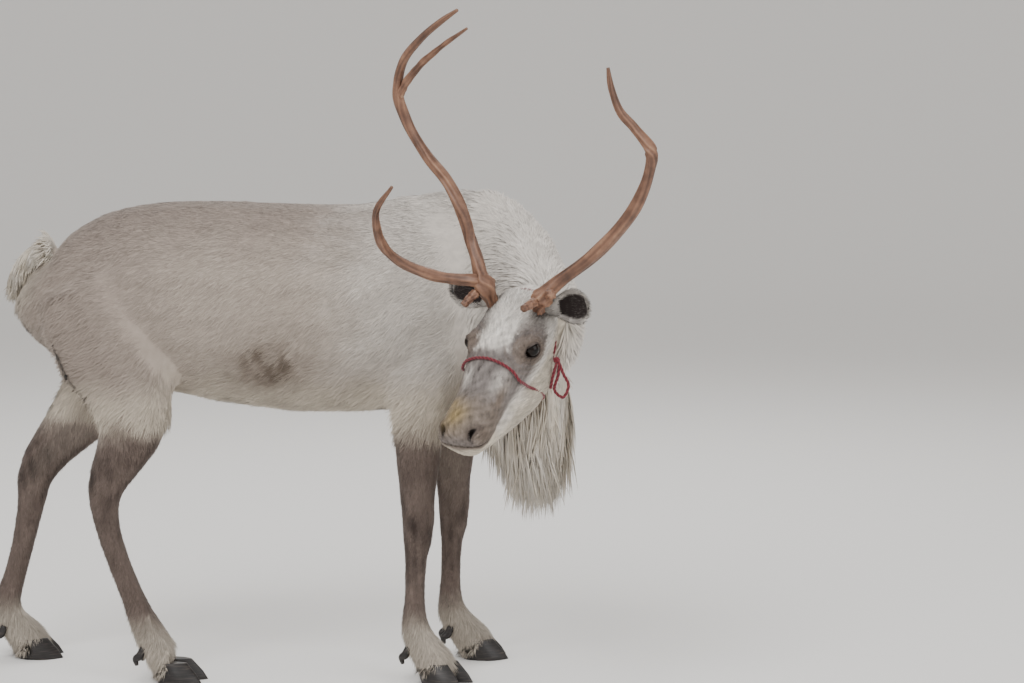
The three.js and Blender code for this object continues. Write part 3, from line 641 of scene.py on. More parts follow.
def face_colour(points):
    h = to_head(points)
    x, y, z = (h / MM).T
    ragged = mottle(h, 0.03, 8) * 0.6 + mottle(h, 0.012, 9) * 0.4
    c = np.tile(linear(COAT["white"]), (len(h), 1))
    c = mix(c, "face_grey", smoothstep(96, 135, x + 8 * ragged) * smoothstep(-76, -44, z) * 0.95)
    c = mix(c, "muzzle", smoothstep(195, 262, x + 10 * ragged) * smoothstep(-70, -50, z) * 0.95)
    # grey rings round the eyes, darkest at the lids and before the inner corner
    for side in (1, -1):
        rho = slit_place(h, side)[0]
        near = (y * side > 8) * smoothstep(14, 34, y * side + 5 * ragged)
        c = mix(c, "face_grey", smoothstep(4.4, 2.4, rho + 0.4 * ragged) * smoothstep(-62, -44, z) * near)
        # painted shade of wrinkles: brown rings round the eye where folds of skin would lie in shade
        wrinkle_shade = np.sin(2 * np.pi * (rho + 0.12 * ragged) / 0.62)
        c = mix(c, "brown", smoothstep(0.2, 0.9, wrinkle_shade) * smoothstep(4.2, 3.0, rho) * near * 0.55)
        c = mix(c, "brown", smoothstep(2.5, 1.5, rho + 0.2 * ragged) * near * 0.8)
        c = mix(c, "dark", smoothstep(1.5, 1.05, rho) * near * 0.9)
        for colour, (along, aside, up), radii, share in FACE_SPOTS:
            c = mix(c, colour, spot(h / MM, (along, side * aside, up), radii) * share)
        c = mix(c, "dark", smoothstep(2.6, 1.2, nostril_place(h, side)) * 0.6)
        c = mix(c, "black", smoothstep(1.25, 0.9, nostril_place(h, side)))
    # small dark slits in the hair down the nose
    marks = smoothstep(0.45, 0.9, mottle(h * [0.5, 1.3, 1.3], 0.02, 11))
    on_nose = smoothstep(105, 150, x) * smoothstep(270, 215, x) * smoothstep(-40, -12, z)
    c = mix(c, "face_grey", marks * on_nose * 0.8)
    for at, aside, reach in NOSE_SLITS:
        c = mix(c, "dark", spot(h / MM, (at, aside, -4), (reach, 2.2, 12)) * 0.85)
    c = mix(c, "ochre", spot(h / MM, (284, -16, 2), (28, 24, 20)) * 1.1)
    c = mix(c, "ochre", spot(h / MM, (254, -36, -8), (18, 16, 16)) * 0.8)
    blaze = smoothstep(126, 92, x + 22 * ragged) * smoothstep(42, 24, np.abs(y) + 15 * ragged)
    blaze = blaze * smoothstep(-50, -25, z)
    c = mix(c, "white", blaze * 0.95)
    c = mix(c, "cream", smoothstep(-66, -92, z + 5 * ragged) * smoothstep(300, 250, x) * 0.9)
    gap, inside = mouth_gap(h)
    c = mix(c, "cream", smoothstep(-3, -12, gap / MM) * smoothstep(250, 280, x) * 0.95)
    c = mix(c, "dark", np.exp(-((gap / (2.0 * MM)) ** 2)) * inside * 0.9)
    c = mix(c, "face_grey", smoothstep(322, 334, x) * smoothstep(0, 6, gap / MM) * 0.7)
    streaks = mottle(h * [0.35, 1, 1], 0.009, 12) + mottle(h * [0.4, 1, 1], 0.005, 13)
    return np.clip(c * (1 + 0.07 * ragged + 0.2 * streaks)[:, None], 0, 1)


def coat_colour(points):
    """The colour of the coat at each place, the same for the skin and the hair."""
    share = head_share(points)[:, None]
    return body_colour(points) * (1 - share) + face_colour(points) * share


def paint(made, colours):
    """Each point's colour of the coat, for the materials to read."""
    layer = made.data.color_attributes.new("Coat", "FLOAT_COLOR", "POINT")
    rgba = np.ones((len(colours), 4), dtype=np.float32)
    rgba[:, :3] = colours
    layer.data.foreach_set("color", rgba.ravel())


def number(made, name, values):
    """A number at each point, for the materials to read."""
    layer = made.data.attributes.new(name, "FLOAT", "POINT")
    layer.data.foreach_set("value", values.astype(np.float32))


def node(material, kind, settings=None, inputs=None):
    """Adds one node, with its own settings and what feeds or fills its sockets."""
    made = material.node_tree.nodes.new(kind)
    for key, value in (settings or {}).items():
        setattr(made, key, value)
    for key, value in (inputs or {}).items():
        if isinstance(value, bpy.types.NodeSocket):
            material.node_tree.links.new(value, made.inputs[key])
        else:
            made.inputs[key].default_value = value
    return made


def new_material(name):
    material = bpy.data.materials.new(name)
    material.use_nodes = True
    return material


def noise(material, vector, scale, detail, **more):
    """Soft cloudy noise over a vector, as the output that a socket can take."""
    values = {"Vector": vector, "Scale": scale, "Detail": detail, **more}
    return node(material, "ShaderNodeTexNoise", {}, values).outputs["Fac"]


def bumped(material, height, strength, distance):
    values = {"Height": height, "Strength": strength, "Distance": distance}
    return node(material, "ShaderNodeBump", {}, values).outputs["Normal"]


def object_place(material):
    return node(material, "ShaderNodeTexCoord").outputs["Object"]


def attribute(material, name):
    return node(material, "ShaderNodeAttribute", {"attribute_name": name}).outputs


def math_node(material, kind, operation, *values):
    """A node that works out one thing from its values, in order."""
    return node(material, kind, {"operation": operation}, dict(enumerate(values))).outputs[0]


def tinted(material, colour, tone):
    values = {0: colour, "Scale": tone}
    return node(material, "ShaderNodeVectorMath", {"operation": "SCALE"}, values).outputs["Vector"]


def ramp(material, fac, stops):
    """Colours, given as hex, at places from 0 to 1."""
    made = node(material, "ShaderNodeValToRGB", inputs={"Fac": fac})
    made.color_ramp.elements[0].position, made.color_ramp.elements[1].position = stops[0][0], stops[-1][0]
    for place, colour in stops[1:-1]:
        made.color_ramp.elements.new(place)
    for element, (place, colour) in zip(made.color_ramp.elements, stops):
        element.position = place
        element.color = (*linear(colour), 1)
    return made.outputs["Color"]


def surface(material, sockets):
    """Links or sets the sockets of the material's own shader."""
    shader = material.node_tree.nodes["Principled BSDF"]
    for key, value in sockets.items():
        if isinstance(value, bpy.types.NodeSocket):
            material.node_tree.links.new(value, shader.inputs[key])
        else:
            shader.inputs[key].default_value = value


# Hide under a winter coat: dull, and as rough as the short hair that covers it.
HAIR_GRAIN_MM = 4.0
hide = new_material("hide_with_short_hair")
lying = math_node(hide, "ShaderNodeVectorMath", "MULTIPLY", object_place(hide), (0.45, 1.0, 0.45))
grain = noise(hide, lying, 1000 / HAIR_GRAIN_MM / 2, 3.0)
tone = node(hide, "ShaderNodeMapRange", {}, {"Value": grain, "To Min": 0.72, "To Max": 1.12}).outputs[0]
surface(hide, {
    "Base Color": tinted(hide, attribute(hide, "Coat")["Color"], tone),
    "Normal": bumped(hide, grain, 0.5, 1.5 * MM),
    "Roughness": 0.85,
    "Specular IOR Level": 0.25,
})

# the trunk's skin ends just inside the head's
in_head = to_head(skin_points)
inside_head = (head_share(skin_points) > 0.99) & (in_head[:, 0] > 20 * MM)
inside_head = inside_head & (off_head(in_head) < -3 * MM)
keep = ~inside_head[skin_faces].all(1)
kept_faces = skin_faces[keep]
used = np.unique(kept_faces)
renumber = np.zeros(len(skin_points), dtype=np.int64)
renumber[used] = np.arange(len(used))
skin_points, skin_faces = skin_points[used], renumber[kept_faces]

all_points, all_faces = joined([(skin_points, skin_faces), (head_world, head_faces)])
skin = mesh_object("skin", all_points, all_faces)
paint(skin, coat_colour(all_points))
skin.data.materials.append(hide)
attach(skin, "root")
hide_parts(*FLESH)

# Eyes: dark brown globes under a wet cornea, with a long level pupil. Each globe swells a little at
# the front, and the lids of the head's skin lie on it.
eye_wet = new_material("wet_eye")
surface(eye_wet, {
    "Base Color": ramp(eye_wet, attribute(eye_wet, "Iris")["Fac"], [
        (0.0, "#050404"),
        (0.3, "#0a0706"),
        (0.42, "#160d08"),
        (0.62, "#130b07"),
        (0.7, "#0b0706"),
        (1.0, "#211816"),
    ]),
    "Roughness": 0.1,
    "IOR": 1.376,
    "Specular IOR Level": 0.35,
})

for side, name in ((1, "left_eye"), (-1, "right_eye")):
    theta = np.linspace(0, np.pi, 42)[1:-1, None]
    phi = np.linspace(0, 2 * np.pi, 56, endpoint=False)[None, :]
    out, along, across = eye_axes(side)
    swell_front = 1 + 0.05 * np.exp(-((theta / 0.62) ** 2))
    ring = (
        (np.cos(theta) * np.ones_like(phi))[..., None] * out
        + (np.sin(theta) * np.cos(phi))[..., None] * along
        + (np.sin(theta) * np.sin(phi))[..., None] * across
    ) * swell_front[..., None] * (EYE_R - 0.3 * MM)
    points, faces = closed(ring[::-1])
    u, v = points @ along, points @ across
    pupil = np.sqrt((u / (1.5 * EYE_R)) ** 2 + (v / (0.85 * EYE_R)) ** 2)
    front = points @ out > 0
    iris = np.where(front, np.clip(pupil, 0, 1), 1.0)
    made = mesh_object(name + "_globe", from_head(points + EYE * [1, side, 1]), faces)
    number(made, "Iris", iris)
    made.data.materials.append(eye_wet)
    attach(made, "root")
    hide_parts(name)

# Ears: a leaf of gristle with thin walls, hollow in front, dark inside and pale at the rim. Each is
# a closed skin over rings along its length, with the hollow pressed in from the front.
EAR_LONG = 97 * MM
EAR = {
    "left": {"root": [-12, 56, -36], "along": [-0.1, 0.95, 0.1], "open": [0.75, 0.1, 0.62]},
    "right": {"root": [-12, -60, -38], "along": [-0.12, -0.94, 0.28], "open": [0.66, -0.1, 0.62]},
}
EAR_FORM = np.array([  # share of the length, half width, half thickness, how far the front is hollow
    [0, 15, 14, 0],
    [0.15, 17, 15, 0.1],
    [0.28, 23, 16, 0.75],
    [0.42, 30, 16, 1.0],
    [0.65, 37, 14, 0.95],
    [0.86, 30, 10, 0.85],
    [0.97, 15, 6, 0.7],
    [1, 5, 3, 0.5],
])
ear_parts = {}
for name, ear in EAR.items():
    s = np.linspace(0, 1, 60)
    form = smooth_columns(EAR_FORM, s)
    along = unit(np.array(ear["along"]))
    opening = np.array(ear["open"])
    opening = unit(opening - along * (opening @ along))
    across = np.cross(opening, along)
    angle = np.linspace(0, 2 * np.pi, 64, endpoint=False)[None, :]
    wide, thick, hollow = (form[:, i : i + 1] for i in range(3))
    flat = np.sin(angle)
    front = np.where(flat > 0, flat * (1 - hollow * 1.55 * np.abs(np.sin(angle)) ** 0.5), flat)
    cu = np.cos(angle) * (wide - 1.5) * MM
    cv = front * (thick - 1.5) * MM
    base = np.array(ear["root"]) * MM + s[:, None] * EAR_LONG * along
    rings = base[:, None] + cu[..., None] * across + cv[..., None] * opening
    points, faces = closed(rings)
    length = s[:, None]
    inner = smoothstep(0.35, 0.8, flat) * smoothstep(0.12, 0.3, length) * smoothstep(1.0, 0.93, length)
    inner = np.append(inner.ravel(), [0, 0])
    colour = np.tile(linear(COAT["white"]), (len(points), 1)) * 0.8
    colour = mix(colour, "face_grey", np.full(len(points), 0.5))
    colour = mix(colour, "ear", inner)
    made = mesh_object(name + "_ear_leaf", from_head(points), faces)
    paint(made, colour)
    made.data.materials.append(hide)
    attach(made, "root")
    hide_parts(name + "_ear")
    ear_parts[name] = (from_head(points), faces, inner, along, opening)

# Winter coat: hollow hair in tufts, each a closed tapered blade. Tufts lie back from the nose along
# head, neck and trunk, and down the legs, and are shortest on the face and feet.
STRANDS_ACROSS = 5  # a tuft holds some hundred hairs; they are drawn as coarse as a render can show
coat_hair = new_material("winter_hair")
strand = attribute(coat_hair, "Strand")["Vector"]
spread = math_node(coat_hair, "ShaderNodeVectorMath", "MULTIPLY", strand, (STRANDS_ACROSS, 0.8, 1.0))
fine = noise(coat_hair, spread, 1.6, 2.0)
tone = node(coat_hair, "ShaderNodeMapRange", {}, {
    "Value": fine,
    "From Min": 0.3,
    "From Max": 0.7,
    "To Min": 0.86,
    "To Max": 1.12,
}).outputs[0]
surface(coat_hair, {
    "Base Color": tinted(coat_hair, attribute(coat_hair, "Coat")["Color"], tone),
    "Normal": bumped(coat_hair, fine, 0.2, 0.3 * MM),
    "Roughness": 0.8,
    "Specular IOR Level": 0.2,
    "Sheen Weight": 0.15,
    "Sheen Roughness": 0.5,
})

draw = np.random.default_rng(20)
TUFT_PATCH = 0.003  # size of a tuft's own patch on the coat's unwrap
ROOT_DEEP = 2 * MM
OFF_GROUND = 1 * MM
SPREAD = (0.75, 1.2)  # least and greatest length and width of a tuft, against those given
SWING, ROLL = 0.2, 0.3  # how far tufts stray from the lie of the coat, and turn on their sides
TAPER = 0.25  # how much a blade narrows towards its tip, and a long one at its root as well
THICK = 0.6  # of a blade, against half its width
TIP_TONE = 1.04  # hair is a little paler at its tip
STRAND_ROOM = 40  # depth of the noise that tufts take their strands from, so that few are alike
CLUMP_LONG = 0.65  # how far clumps are drawn out along the lie, where 0 leaves them round
CLUMP_SWING = 0.16  # how far a clump of tufts turns from the lie
CLUMP_TONE = 0.06  # how much paler or darker a clump is
CLUMP_TILT = 0.34  # how far a clump of tufts leans to one side in the light
ROUND = 0.7  # how far the light on a tuft turns from edge to edge, against that on the skin below


def roots_on(points, triangles, weight, count):
    """Random places on a mesh, as places and unit normals. `weight` thins them, per triangle."""
    a, b, c = (points[triangles[:, i]] for i in range(3))
    area = np.linalg.norm(np.cross(b - a, c - a), axis=1) * weight
    chosen = draw.choice(len(area), size=count, p=area / area.sum())
    r1, r2 = np.sqrt(draw.random(count)), draw.random(count)
    share = np.stack([1 - r1, r1 * (1 - r2), r1 * r2], 1)
    normals = normals_of(points, triangles)
    place = (points[triangles[chosen]] * share[..., None]).sum(1)
    normal = unit((normals[triangles[chosen]] * share[..., None]).sum(1))
    return place, normal


def tufts(
    name, roots, normals, lie, long, wide, lift, colours, unwrap,
    rings=1, droop=0.0, bend=0.45, shade=0.8, vary=0.08, clump=16 * MM, own_light=False,
):
    """One piece of coat: a blade from each root, as one mesh with its unwrap and colours. `shade` is the
    painted shade at the roots, the darker tone where tufts shade one another, `vary` the tone from tuft to
    tuft. Most coats take the light as the skin below does."""
    count = len(roots)
    lie = unit(lie - normals * (lie * normals).sum(1, keepdims=True))
    drawn_out = roots - CLUMP_LONG * lie * (roots * lie).sum(1, keepdims=True)
    parting = mottle(drawn_out, clump, 61)[:, None]
    ruffle = mottle(drawn_out, 0.6 * clump, 62)[:, None]
    swing = draw.normal(0, SWING, count)[:, None] + CLUMP_SWING * parting
    lie = unit(lie + np.cross(normals, lie) * swing)
    roll = draw.normal(0, ROLL, count)[:, None]
    broad = unit(np.cross(normals, lie) + normals * roll)
    thick_way = np.cross(lie, broad)
    facing = unit(normals + 0.5 * thick_way + CLUMP_TILT * (parting * broad + ruffle * lie))
    lift = np.broadcast_to(lift, count)[:, None]
    long = np.broadcast_to(long, count)[:, None] * draw.uniform(*SPREAD, count)[:, None]
    wide = np.broadcast_to(wide, count)[:, None] * draw.uniform(*SPREAD, count)[:, None]
    droop = np.broadcast_to(droop, count)[:, None]
    points = np.empty((count, 3 * rings + 1, 3), dtype=np.float32)
    across = np.empty((count, 3 * rings + 1, 3), dtype=np.float32)
    soft = np.empty((count, 3 * rings + 1, 3), dtype=np.float32)
    for i in range(rings + 1):
        s = i / rings
        centre = roots - normals * ROOT_DEEP * (1 - s)
        centre = centre + long * (lie * s * np.cos(lift) + normals * np.sin(lift) * s * (1 - bend * s))
        centre = centre + long * droop * s * s * np.array([0, 0, -1])
        if i == rings:
            points[:, -1] = centre
            across[:, -1] = [0.5, 1, 0]
            soft[:, -1] = facing
            break
        half = wide / 2 * (1 - TAPER * s) * (1 - TAPER if i == 0 and rings > 1 else 1)
        soft[:, 3 * i] = unit(facing - ROUND * broad)
        soft[:, 3 * i + 1] = unit(facing + ROUND * broad)
        soft[:, 3 * i + 2] = facing
        points[:, 3 * i] = centre - broad * half
        points[:, 3 * i + 1] = centre + broad * half
        points[:, 3 * i + 2] = centre + thick_way * half * THICK
        for k, place in enumerate((0, 1, 0.5)):
            across[:, 3 * i + k] = [place, s, 0]
    points[..., 2] = np.maximum(points[..., 2], OFF_GROUND)
    across[..., 2] = draw.random(count)[:, None] * STRAND_ROOM
    faces = [[0, 2, 1]]
    for i in range(rings - 1):
        for j in range(3):
            a, b = 3 * i + j, 3 * i + (j + 1) % 3
            faces += [[a, b, b + 3], [a, b + 3, a + 3]]
    last = 3 * (rings - 1)
    faces += [[last, last + 1, 3 * rings], [last + 1, last + 2, 3 * rings], [last + 2, last, 3 * rings]]
    faces = np.array(faces)
    corners = 3 * rings + 1
    all_faces = (faces[None] + (np.arange(count) * corners)[:, None, None]).reshape(-1, 3)
    made = mesh_object(name, points.reshape(-1, 3), all_faces)
    tip = np.linspace(0, 1, rings + 1)
    # painted shade: each tuft darkest at its root, where the tufts shade one another, and lighter towards
    # its paler tip
    tones = np.concatenate([np.repeat(shade + (1 - shade) * tip[:-1], 3), [TIP_TONE]])
    vary = draw.normal(1, vary, count) * (1 + CLUMP_TONE * (parting + ruffle)[:, 0])
    paint(made, np.clip((colours * vary[:, None])[:, None] * tones[None, :, None], 0, 1).reshape(-1, 3))
    layer = made.data.attributes.new("Strand", "FLOAT_VECTOR", "POINT")
    layer.data.foreach_set("vector", across.reshape(-1, 3).ravel())
    bake = made.data.uv_layers.new(name="OFBake")
    flat = unwrap[:, None] + (across[..., :2] - 0.5) * TUFT_PATCH
    corner = flat.reshape(-1, 2)[all_faces.ravel()]
    bake.data.foreach_set("uv", np.clip(corner, 0, 1).astype(np.float32).ravel())
    if not own_light:
        made.data.normals_split_custom_set_from_vertices(soft.reshape(-1, 3))
    made.data.materials.append(coat_hair)
    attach(made, "root")
    return made


def lie_of_body(points):
    """Down the legs, back and down along the trunk, and away from the head on the neck."""
    p = design(points)
    y, z = p.T[1:]
    trunk = np.stack([-np.ones(len(p)), np.sign(y) * 0.1, -0.55 * smoothstep(1.0, 0.85, z)], 1)
    aside = 0.8 * smoothstep(0.05, -0.05, y) + 0.2
    neck = np.stack([np.full(len(p), -0.35), aside, -0.75 * smoothstep(0.98, 0.8, z)], 1)
    leg = np.array([[-0.15, 0, -1]])
    share = neck_share(points)[:, None]
    way = unit(trunk) * (1 - share) + unit(neck) * share
    down = smoothstep(0.68, 0.5, z)[:, None]
    way = unit(way) * (1 - down) + unit(leg) * down
    shag = np.stack([mottle(points, 0.11, seed) for seed in (31, 32, 33)], 1)
    return unit(way + 0.16 * shag)


def number_of(count):
    return count


def round_unwrap(side, up):
    """Places round a limb or the trunk, from 0 to 1."""
    return np.arctan2(up, side) / (2 * np.pi) + 0.5


middle_of = skin_points[skin_faces].mean(1)
on_head = head_share(middle_of) > 0.6
dm = design(middle_of)
REGIONS = {
    "neck": neck_share(middle_of) > 0.5,
    "foreleg": (dm[:, 2] < 0.54) & (dm[:, 0] > 0),
    "hindleg": (dm[:, 2] < 0.56) & (dm[:, 0] <= 0),
    "chest": dm[:, 0] > 0.12,
    "flank": dm[:, 0] > -0.2,
    "rump": np.ones(len(dm), dtype=bool),
}
# where the long hair of the throat grows instead
in_mane = (dm[:, 2] < 0.66) & (dm[:, 0] > 0.40) & (dm[:, 1] < -0.02)
HAIR = {  # long, wide in mm, lift in radians, number, rings of each tuft
    "neck": (44, 5.0, 0.22, 19000, 2),
    "chest": (34, 3.8, 0.17, 44000, 1),
    "flank": (32, 3.8, 0.15, 46000, 1),
    "rump": (32, 3.8, 0.17, 46000, 1),
    "foreleg": (14, 2.6, 0.20, 38000, 1),
    "hindleg": (16, 2.8, 0.20, 42000, 1),
}
taken = on_head | in_mane
for name, inside in REGIONS.items():
    own = inside & ~taken
    taken = taken | inside
    long, wide, lift, count, rings = HAIR[name]
    place, normal = roots_on(skin_points, skin_faces[own], 1.0, number_of(count))
    d = design(place)
    lie = lie_of_body(place)
    # down over folds that face forward
    forward = (smoothstep(0.2, 0.7, normal[:, 0]) * (name in ("flank", "rump", "hindleg")))[:, None]
    lie = lie * (1 - forward) + forward * np.array([-0.2, 0, -1])
    if name in ("foreleg", "hindleg"):
        low = smoothstep(0.2, 0.1, d[:, 2])
        high = smoothstep(0.36, 0.56, d[:, 2])
        long = (long + 9 * high + 11 * low) * MM
        wide = (wide + 1.5 * high) * MM
        lift = lift + 0.18 * low
        u = round_unwrap(d[:, 0] % 0.3 - 0.15, d[:, 1] - np.sign(d[:, 1]) * 0.115) * 0.48
        unwrap = np.stack([u + 0.5 * (d[:, 1] > 0), np.clip(d[:, 2] / 0.58, 0, 1)], 1)
        vary = 0.13
    else:
        vary = 0.08
        belly = smoothstep(0.64, 0.57, d[:, 2])
        sheath = spot(d, *SHEATH)
        long = (long + 12 * belly + 26 * sheath) * MM
        lift = lift + 0.5 * sheath
        wide = wide * MM
        u = round_unwrap(d[:, 1] + 0.1 * (name == "neck"), d[:, 2] - 0.79)
        reach = d[:, 0] if name != "neck" else 0.3 - d[:, 1]
        unwrap = np.stack([u, (reach - reach.min()) / np.ptp(reach)], 1)
    tufts(
        "coat_" + name, place, normal, lie, long, wide, lift, coat_colour(place), unwrap,
        rings=rings, droop=0.05, vary=vary,
    )

# Hair of the face: a few millimetres long, lying back from the nose to the poll, and longer on the
# cheeks. The lids, the nostrils and the line of the mouth are bare.
place, normal = roots_on(head_world, head_faces, 1.0, number_of(46000))
h = to_head(place)
bare = np.zeros(len(h), dtype=bool)
for side in (1, -1):
    rho = slit_place(h, side)[0]
    bare |= (rho < 1.3) & (h[:, 1] * side > 20 * MM)
    bare |= nostril_place(h, side) < 1.2
gap, inside = mouth_gap(h)
bare |= (np.abs(gap) < 2.5 * MM) & (inside > 0.3)
bare |= h[:, 0] < -30 * MM
place, normal, h = place[~bare], normal[~bare], h[~bare]
back = smoothstep(120 * MM, -20 * MM, h[:, 0])
cheek = smoothstep(-66 * MM, -110 * MM, h[:, 2]) * smoothstep(290 * MM, 200 * MM, h[:, 0])
long = (7 + 11 * back + 15 * cheek) * MM
wide = (1.7 + 0.9 * back + 0.8 * cheek) * MM
aside = 0.35 * np.sign(h[:, 1]) * (1 - back)
face_lie = np.stack([np.full(len(h), -1.0), aside, np.full(len(h), -0.25)], 1) @ HEAD_AXES.T
unwrap = np.stack([round_unwrap(h[:, 1], h[:, 2] + 0.06), (h[:, 0] + 0.06) / 0.4], 1)
tufts(
    "coat_face", place, normal, face_lie, long, wide, 0.24, coat_colour(place), np.clip(unwrap, 0, 1),
    shade=0.66, vary=0.16, clump=8 * MM,
)

# Hair of the ears: a pale fringe round the rim, short hair on the back, a few long hairs inside.
# All of it points to the tip of the ear.
places, ear_normals, lies, colours, unwraps = [], [], [], [], []
for i, (name, (points, faces, inner, along, opening)) in enumerate(ear_parts.items()):
    depth = inner[faces].mean(1)
    weight = 0.35 + 2.2 * np.exp(-(((depth - 0.45) / 0.25) ** 2)) - 0.25 * (depth > 0.9)
    place, normal = roots_on(points, faces, weight, 3200)
    near = tree_of(points, faces)
    local = to_head(place) - np.array(EAR[name]["root"]) * MM
    share = local @ along / EAR_LONG
    places.append(place)
    ear_normals.append(normal)
    lies.append(np.tile((along + opening * 0.25) @ HEAD_AXES.T, (len(place), 1)))
    dark = depth[[near.find_nearest(Vector(q))[2] for q in place]]
    base = np.tile(linear(COAT["white"]), (len(place), 1))
    base = mix(base, "face_grey", 0.35 + 0.3 * mottle(place, 0.02, 41))
    colours.append(mix(base, "ear", smoothstep(0.55, 0.95, dark) * 0.9))
    centre = local - share[:, None] * EAR_LONG * along
    u = round_unwrap(centre @ np.cross(opening, along), centre @ opening)
    unwraps.append(np.stack([u * 0.48 + 0.5 * i, np.clip(share, 0, 1)], 1))
tufts(
    "coat_ears", np.concatenate(places), np.concatenate(ear_normals), np.concatenate(lies),
    13 * MM, 1.8 * MM, 0.3, np.concatenate(colours), np.concatenate(unwraps),
)

# Throat mane and tail: long cream hair that hangs from its root and hides the core. Each lock is a
# closed blade of three rings that takes the light on its own sides.
place, normal = roots_on(skin_points, skin_faces[in_mane & ~on_head], 1.0, number_of(8600))
d = design(place)
hang = unit(np.array([0.1, 0, -1]) + 0.15 * normal)
long = (70 + 52 * smoothstep(0.66, 0.56, d[:, 2])) * MM
cream = mix(np.tile(linear(COAT["cream"]), (len(d), 1)), "white", 0.45 + 0.35 * mottle(place, 0.05, 51))
u = round_unwrap(d[:, 0] - 0.51, d[:, 2] - 0.63)
outward = unit((d - [0.51, -0.2, 0]) * [1, 0.25, 0])
normal = unit(normal * [1, 1, 0.1] + 0.45 * outward)
unwrap = np.stack([u, np.clip((d[:, 1] + 0.42) / 0.42, 0, 1)], 1)
mane = tufts(
    "coat_mane", place, normal, hang, long, 5.5 * MM, 0.22, cream, unwrap,
    rings=3, droop=0.35, bend=0.8, shade=0.85, own_light=True,
)
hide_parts("throat_mane")

core_points, core_faces = tail_core
core_points = smoothed(core_points, core_faces, 2)
place, normal = roots_on(core_points, core_faces, 1.0, number_of(3600))
d = design(place)
down = -smoothstep(-0.5, -0.57, d[:, 0]) - 0.2
way = np.stack([np.full(len(d), -0.75), 0.5 * d[:, 1] / 0.04, down], 1)
cream = mix(np.tile(linear(COAT["cream"]), (len(d), 1)), "white", 0.35 + 0.35 * mottle(place, 0.04, 52))
unwrap = np.stack([round_unwrap(d[:, 1], d[:, 2] - 0.88), np.clip((-0.48 - d[:, 0]) / 0.12, 0, 1)], 1)
normal = unit(normal * [1, 1, 0.5] + [-0.4, 0, 0.2])
tail = tufts(
    "coat_tail", place, normal, way, 42 * MM, 4.5 * MM, 0.25, cream, unwrap,
    rings=3, droop=0.2, own_light=True,
)
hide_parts("tail")

# Antlers: bare bone, out of velvet, stained red-brown and rubbed pale on the outer bends. Long
# furrows run up the beams from the rough burr at each root. [back, outward, up, radius] in mm.
BEAMS = {
    "right": [
        [-5, 48, -30, 13], [0, 54, -5, 14], [8, 58, 24, 20], [22, 68, 38, 15], [45, 79, 52, 13],
        [85, 104, 75, 12.5], [128, 128, 117, 12], [170, 167, 148, 11.5], [212, 222, 170, 11],
        [255, 267, 211, 11], [295, 286, 262, 10], [325, 265, 318, 8.5], [345, 209, 374, 7.5],
        [355, 148, 422, 6], [360, 98, 456, 3],
    ],
    "left": [
        [-5, 48, -30, 13], [0, 54, -10, 14], [8, 60, -2, 20], [22, 73, 8, 16], [45, 96, 18, 13.5],
        [85, 157, 50, 13], [122, 210, 88, 12.5], [165, 260, 136, 12], [205, 291, 192, 11],
        [228, 298, 229, 11], [262, 258, 253, 9], [285, 225, 272, 8], [315, 204, 300, 6.5],
        [345, 195, 330, 3],
    ],
}
TINES = {
    "right": [
        [[14, 60, 26, 11], [8, 74, 40, 12], [0, 107, 51, 11.5], [-12, 153, 74, 11], [-22, 197, 120, 10],
         [-25, 216, 166, 9.5], [-20, 214, 222, 8.5], [-5, 203, 270, 6.5], [20, 157, 321, 3]],
        [[8, 64, 18, 8], [-12, 72, 24, 9], [-32, 80, 27, 8], [-45, 85, 27, 7]],
        [[290, 282, 256, 8], [302, 265, 280, 8], [320, 219, 324, 7], [335, 163, 365, 5.5],
         [345, 84, 420, 2.5]],
    ],
    "left": [
        [[6, 60, 2, 9], [-16, 56, 18, 9], [-40, 50, 32, 7]],
        [[18, 72, 8, 9], [8, 88, 22, 10], [0, 100, 32, 8]],
    ],
}
ANTLER_NODES = {
    "right": ["antler_beam", "antler_upper", "antler_bez_tine", "antler_brow_stub", "antler_fork_tine"],
    "left": ["antler_beam", "antler_upper", "antler_brow_stub", "antler_bez_stub"],
}
bone = new_material("stained_antler_bone")
place = object_place(bone)
patches = noise(bone, place, 28.0, 5.0, Roughness=0.6)
worn = math_node(bone, "ShaderNodeMath", "MULTIPLY_ADD", patches, 0.75, attribute(bone, "Wear")["Fac"])
furrow = noise(bone, place, 260.0, 4.0)
surface(bone, {
    "Base Color": ramp(bone, worn, [
        (0.18, "#36231a"),
        (0.42, "#664737"),
        (0.62, "#8a654f"),
        (0.85, "#ad8a6d"),
        (1.0, "#c8ab8e"),
    ]),
    "Normal": bumped(bone, furrow, 0.4, 0.5 * MM),
    "Roughness": 0.5,
})


def furrows(t, a, seed, beam):
    """The size of each point of an antler, against its smooth line, t along it and a round it."""
    ridge = 0.07 * np.sin(5 * a + 9 * t) + 0.05 * np.sin(8 * a - 14 * t + 1)
    ridge = ridge + 0.03 * np.sin(13 * a + 31 * t)
    pearl = 0.10 * np.sin(9 * a + 2) * np.sin(60 * t) * np.exp(-(((t - 0.1) / 0.12) ** 2)) * beam
    knobs = 0.05 * np.sin(23 * t + seed) + 0.04 * np.sin(47 * t + 2 * seed)
    return 1 + ridge + pearl + knobs


